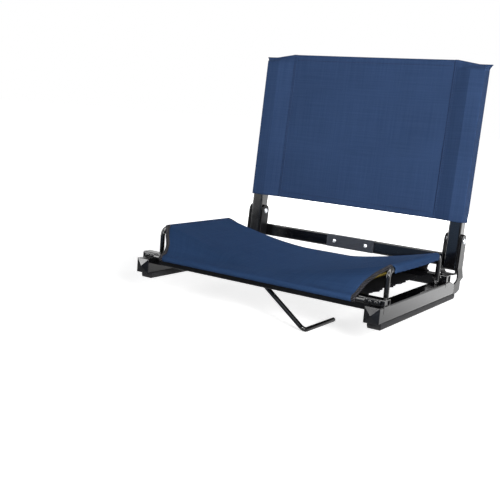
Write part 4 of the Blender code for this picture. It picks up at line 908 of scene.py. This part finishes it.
thread = thread_material()
back_out = Vector(on_back(0, 1, 0)) - Vector(on_back(0, 0, 0))
lap_face = PANEL_HALF + SLEEVE_THICK + THREAD_LIFT
for side, sign in SIDES:
    lines = []
    for x in (PANEL_SEAM - inset for inset in LAP_ROWS):
        for way in (-1, 1):
            lines.append(([on_back(sign * x, way * lap_face + bow(x), z)
                           for z in np.linspace(PANEL_LOW + ROW_INSET, PANEL_HIGH - ROW_INSET, 30)],
                          back_out * way))
    stitches(side + "_lap_stitches", lines, "backrest", thread)
hem_lines = []
reach = PANEL_SEAM - SLEEVE_LAP - 0.001
for z in (PANEL_LOW + HEM_DEEP - ROW_INSET, PANEL_HIGH - HEM_DEEP + ROW_INSET):
    for way in (-1, 1):
        hem_lines.append(([on_back(x, way * hem_half(z) + bow(x), z) for x in np.linspace(-reach, reach, 40)],
                          back_out * way))
stitches("hem_stitches", hem_lines, "backrest", thread)


# Hook: a bent 8 mm rod that swings in a small bracket behind the front bar, with a push-on retainer.
# Its toe goes under the bleacher board and stops the chair from tipping.

paint(["hook"], rod_coat)
paint(["hook_bracket"], powder_coat)
paint(["hook_retainer"], zinc)


# Studio: a pale floor under the hook's lowest point and a white surround. One strong softbox stands at
# the front right, two weak ones fill in, and one behind lights the back's rear, out of any reflection.
# The floor's and the surround's panels are seen only by glossy rays, in the coat of tubes and rods.

CAMERA = {"place": (0.6917, -1.0667, 0.3048), "turn": 32.94, "tilt": 9.76, "roll": 4.44, "focus": 801.8}
PHOTO_WIDTH = 500.0                 # pixels that the focus is given in
SENSOR = 36.0
FLOOR_DROP = 0.0005
FLOOR_GLOSS = 2.1                   # how bright the floor behind the chair is in a reflection
GLOSS_STRIPS = ((72, 14.0), (-46, 10.0))        # upright strips: bearing in degrees, brightness
PANE = ((-0.370, -0.845, 0.386), 0.986, 0.998, 4.5)         # direction, cosines at its rim and core, level
BLUE_CARD = ((-0.316, -0.947, 0.055), 0.976, 0.990, 0.95)   # low card that the uprights mirror
SOFTBOXES = (("front_softbox", (1.30, -1.05, 0.60), 0.45, 33.0),        # place, size in m, power in W
             ("high_softbox", (0.35, -1.30, 1.10), 0.5, 2.0),
             ("left_softbox", (-1.4, -1.0, 0.5), 0.7, 2.5),
             ("rear_softbox", (-0.6, 2.0, 0.42), 0.8, 20.0))
AIM = Vector((0.0, 0.20, 0.18))
WHITE = "#ffffff"


def studio_floor():
    made, tree, place = blank_material("pale_studio_floor")
    seen = add(tree, "ShaderNodeLightPath")
    far = add(tree, "ShaderNodeVectorMath", {0: place}, operation="LENGTH")
    level = add(tree, "ShaderNodeMapRange", {"Value": far, "From Min": 0.5, "From Max": 1.4,
                                             "To Min": 0.74, "To Max": 1.0})
    depth = add(tree, "ShaderNodeSeparateXYZ", {"Vector": place}).outputs["Y"]
    behind = add(tree, "ShaderNodeMapRange", {"Value": depth, "From Min": -0.1, "From Max": 0.5})
    mirrored = add(tree, "ShaderNodeMath", {0: behind, 1: seen.outputs["Is Glossy Ray"]},
                   operation="MULTIPLY")
    bright = add(tree, "ShaderNodeMath", {0: mirrored, 1: FLOOR_GLOSS}, operation="MULTIPLY")
    direct = add(tree, "ShaderNodeMath", {0: seen.outputs["Is Camera Ray"], 1: bright}, operation="MAXIMUM")
    lift = add(tree, "ShaderNodeMath", {0: direct, 1: level}, operation="MULTIPLY")
    flagged = add(tree, "ShaderNodeMath", {0: seen.outputs["Is Glossy Ray"], 1: mirrored},
                  operation="SUBTRACT")
    front = add(tree, "ShaderNodeMapRange", {"Value": depth, "From Min": -0.36, "From Max": -0.60})
    flag = add(tree, "ShaderNodeMix", {0: front, 6: "#84868b", 7: "#c4ddff"}, data_type="RGBA")
    card = add(tree, "ShaderNodeMix", {0: flagged, 6: "#efefef", 7: flag}, data_type="RGBA")
    matt = add(tree, "ShaderNodeBsdfDiffuse", {"Color": card})
    glow = add(tree, "ShaderNodeEmission", {"Color": WHITE, "Strength": lift})
    both_ways = add(tree, "ShaderNodeAddShader", {0: matt, 1: glow})
    add(tree, "ShaderNodeOutputMaterial", {"Surface": both_ways})
    return made


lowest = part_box("hook")[0].z
floor_shape = bmesh.new()
bmesh.ops.create_grid(floor_shape, x_segments=1, y_segments=1, size=30.0)
floor = solid("studio_floor", floor_shape, studio_floor())
floor.location = (0.0, 0.0, lowest - FLOOR_DROP)

world = bpy.data.worlds.new("white_surround")
bpy.context.scene.world = world
world.use_nodes = True
sky = world.node_tree
sky.nodes.clear()
seen = add(sky, "ShaderNodeLightPath")
ray = add(sky, "ShaderNodeTexCoord").outputs["Generated"]

ahead = add(sky, "ShaderNodeSeparateXYZ", {"Vector": ray})
backdrop = add(sky, "ShaderNodeMapRange", {"Value": ahead.outputs["Y"], "From Min": -0.25, "From Max": 0.45,
                                           "To Min": 0.08, "To Max": 1.0})
for bearing, bright in GLOSS_STRIPS:
    sine, cosine = math.sin(math.radians(bearing)), math.cos(math.radians(bearing))
    off = add(sky, "ShaderNodeVectorMath", {0: ray, 1: (cosine, sine, 0.0)}, operation="DOT_PRODUCT")
    near = add(sky, "ShaderNodeVectorMath", {0: ray, 1: (sine, -cosine, 0.0)}, operation="DOT_PRODUCT")
    width = add(sky, "ShaderNodeMath", {0: off}, operation="ABSOLUTE")
    strip = add(sky, "ShaderNodeMapRange", {"Value": width, "From Min": 0.19, "From Max": 0.12,
                                            "To Max": bright})
    facing = add(sky, "ShaderNodeMath", {0: near, 1: 0.0}, operation="GREATER_THAN")
    backdrop = add(sky, "ShaderNodeMath", {0: strip, 1: facing, 2: backdrop}, operation="MULTIPLY_ADD")
for direction, rim, core, bright in (PANE, BLUE_CARD):      # share ends as the blue card's
    near = add(sky, "ShaderNodeVectorMath", {0: ray, 1: direction}, operation="DOT_PRODUCT")
    share = add(sky, "ShaderNodeMapRange", {"Value": near, "From Min": rim, "From Max": core})
    backdrop = add(sky, "ShaderNodeMath", {0: share, 1: bright, 2: backdrop}, operation="MULTIPLY_ADD")
blue = add(sky, "ShaderNodeMath", {0: share, 1: seen.outputs["Is Glossy Ray"]}, operation="MULTIPLY")
tint = add(sky, "ShaderNodeMix", {0: blue, 6: WHITE, 7: "#b3d4ff"}, data_type="RGBA")
soft = add(sky, "ShaderNodeMix", {0: seen.outputs["Is Glossy Ray"], 2: 0.04, 3: backdrop})
straight = add(sky, "ShaderNodeMath", {0: seen.outputs["Is Camera Ray"],
                                       1: seen.outputs["Is Transmission Ray"]}, operation="MAXIMUM")
strength = add(sky, "ShaderNodeMix", {0: straight, 2: soft, 3: 1.0})
surround = add(sky, "ShaderNodeBackground", {"Color": tint, "Strength": strength})
add(sky, "ShaderNodeOutputWorld", {"Surface": surround})

for name, place, size, power in SOFTBOXES:
    data = bpy.data.lights.new(name, "AREA")
    data.size = size
    data.energy = power
    lamp = show(name, data)
    lamp.location = place
    lamp.rotation_euler = (Vector(place) - AIM).to_track_quat("Z", "Y").to_euler()
    lamp.visible_glossy = name != "rear_softbox"

turn, tilt, roll = (math.radians(CAMERA[key]) for key in ("turn", "tilt", "roll"))
back = Vector((math.sin(turn) * math.cos(tilt), -math.cos(turn) * math.cos(tilt), math.sin(tilt)))
right = Vector((math.cos(turn), math.sin(turn), 0.0))
up = back.cross(right)
across = right * math.cos(roll) + up * math.sin(roll)
upward = up * math.cos(roll) - right * math.sin(roll)
camera_data = bpy.data.cameras.new("photo_camera")
camera_data.sensor_width = SENSOR
camera_data.lens = CAMERA["focus"] * SENSOR / PHOTO_WIDTH
camera = show("photo_camera", camera_data)
facing = Matrix((across, upward, back)).transposed().to_4x4()
camera.matrix_world = Matrix.Translation(CAMERA["place"]) @ facing
bpy.context.scene.camera = camera
bpy.context.scene.view_settings.view_transform = "Standard"
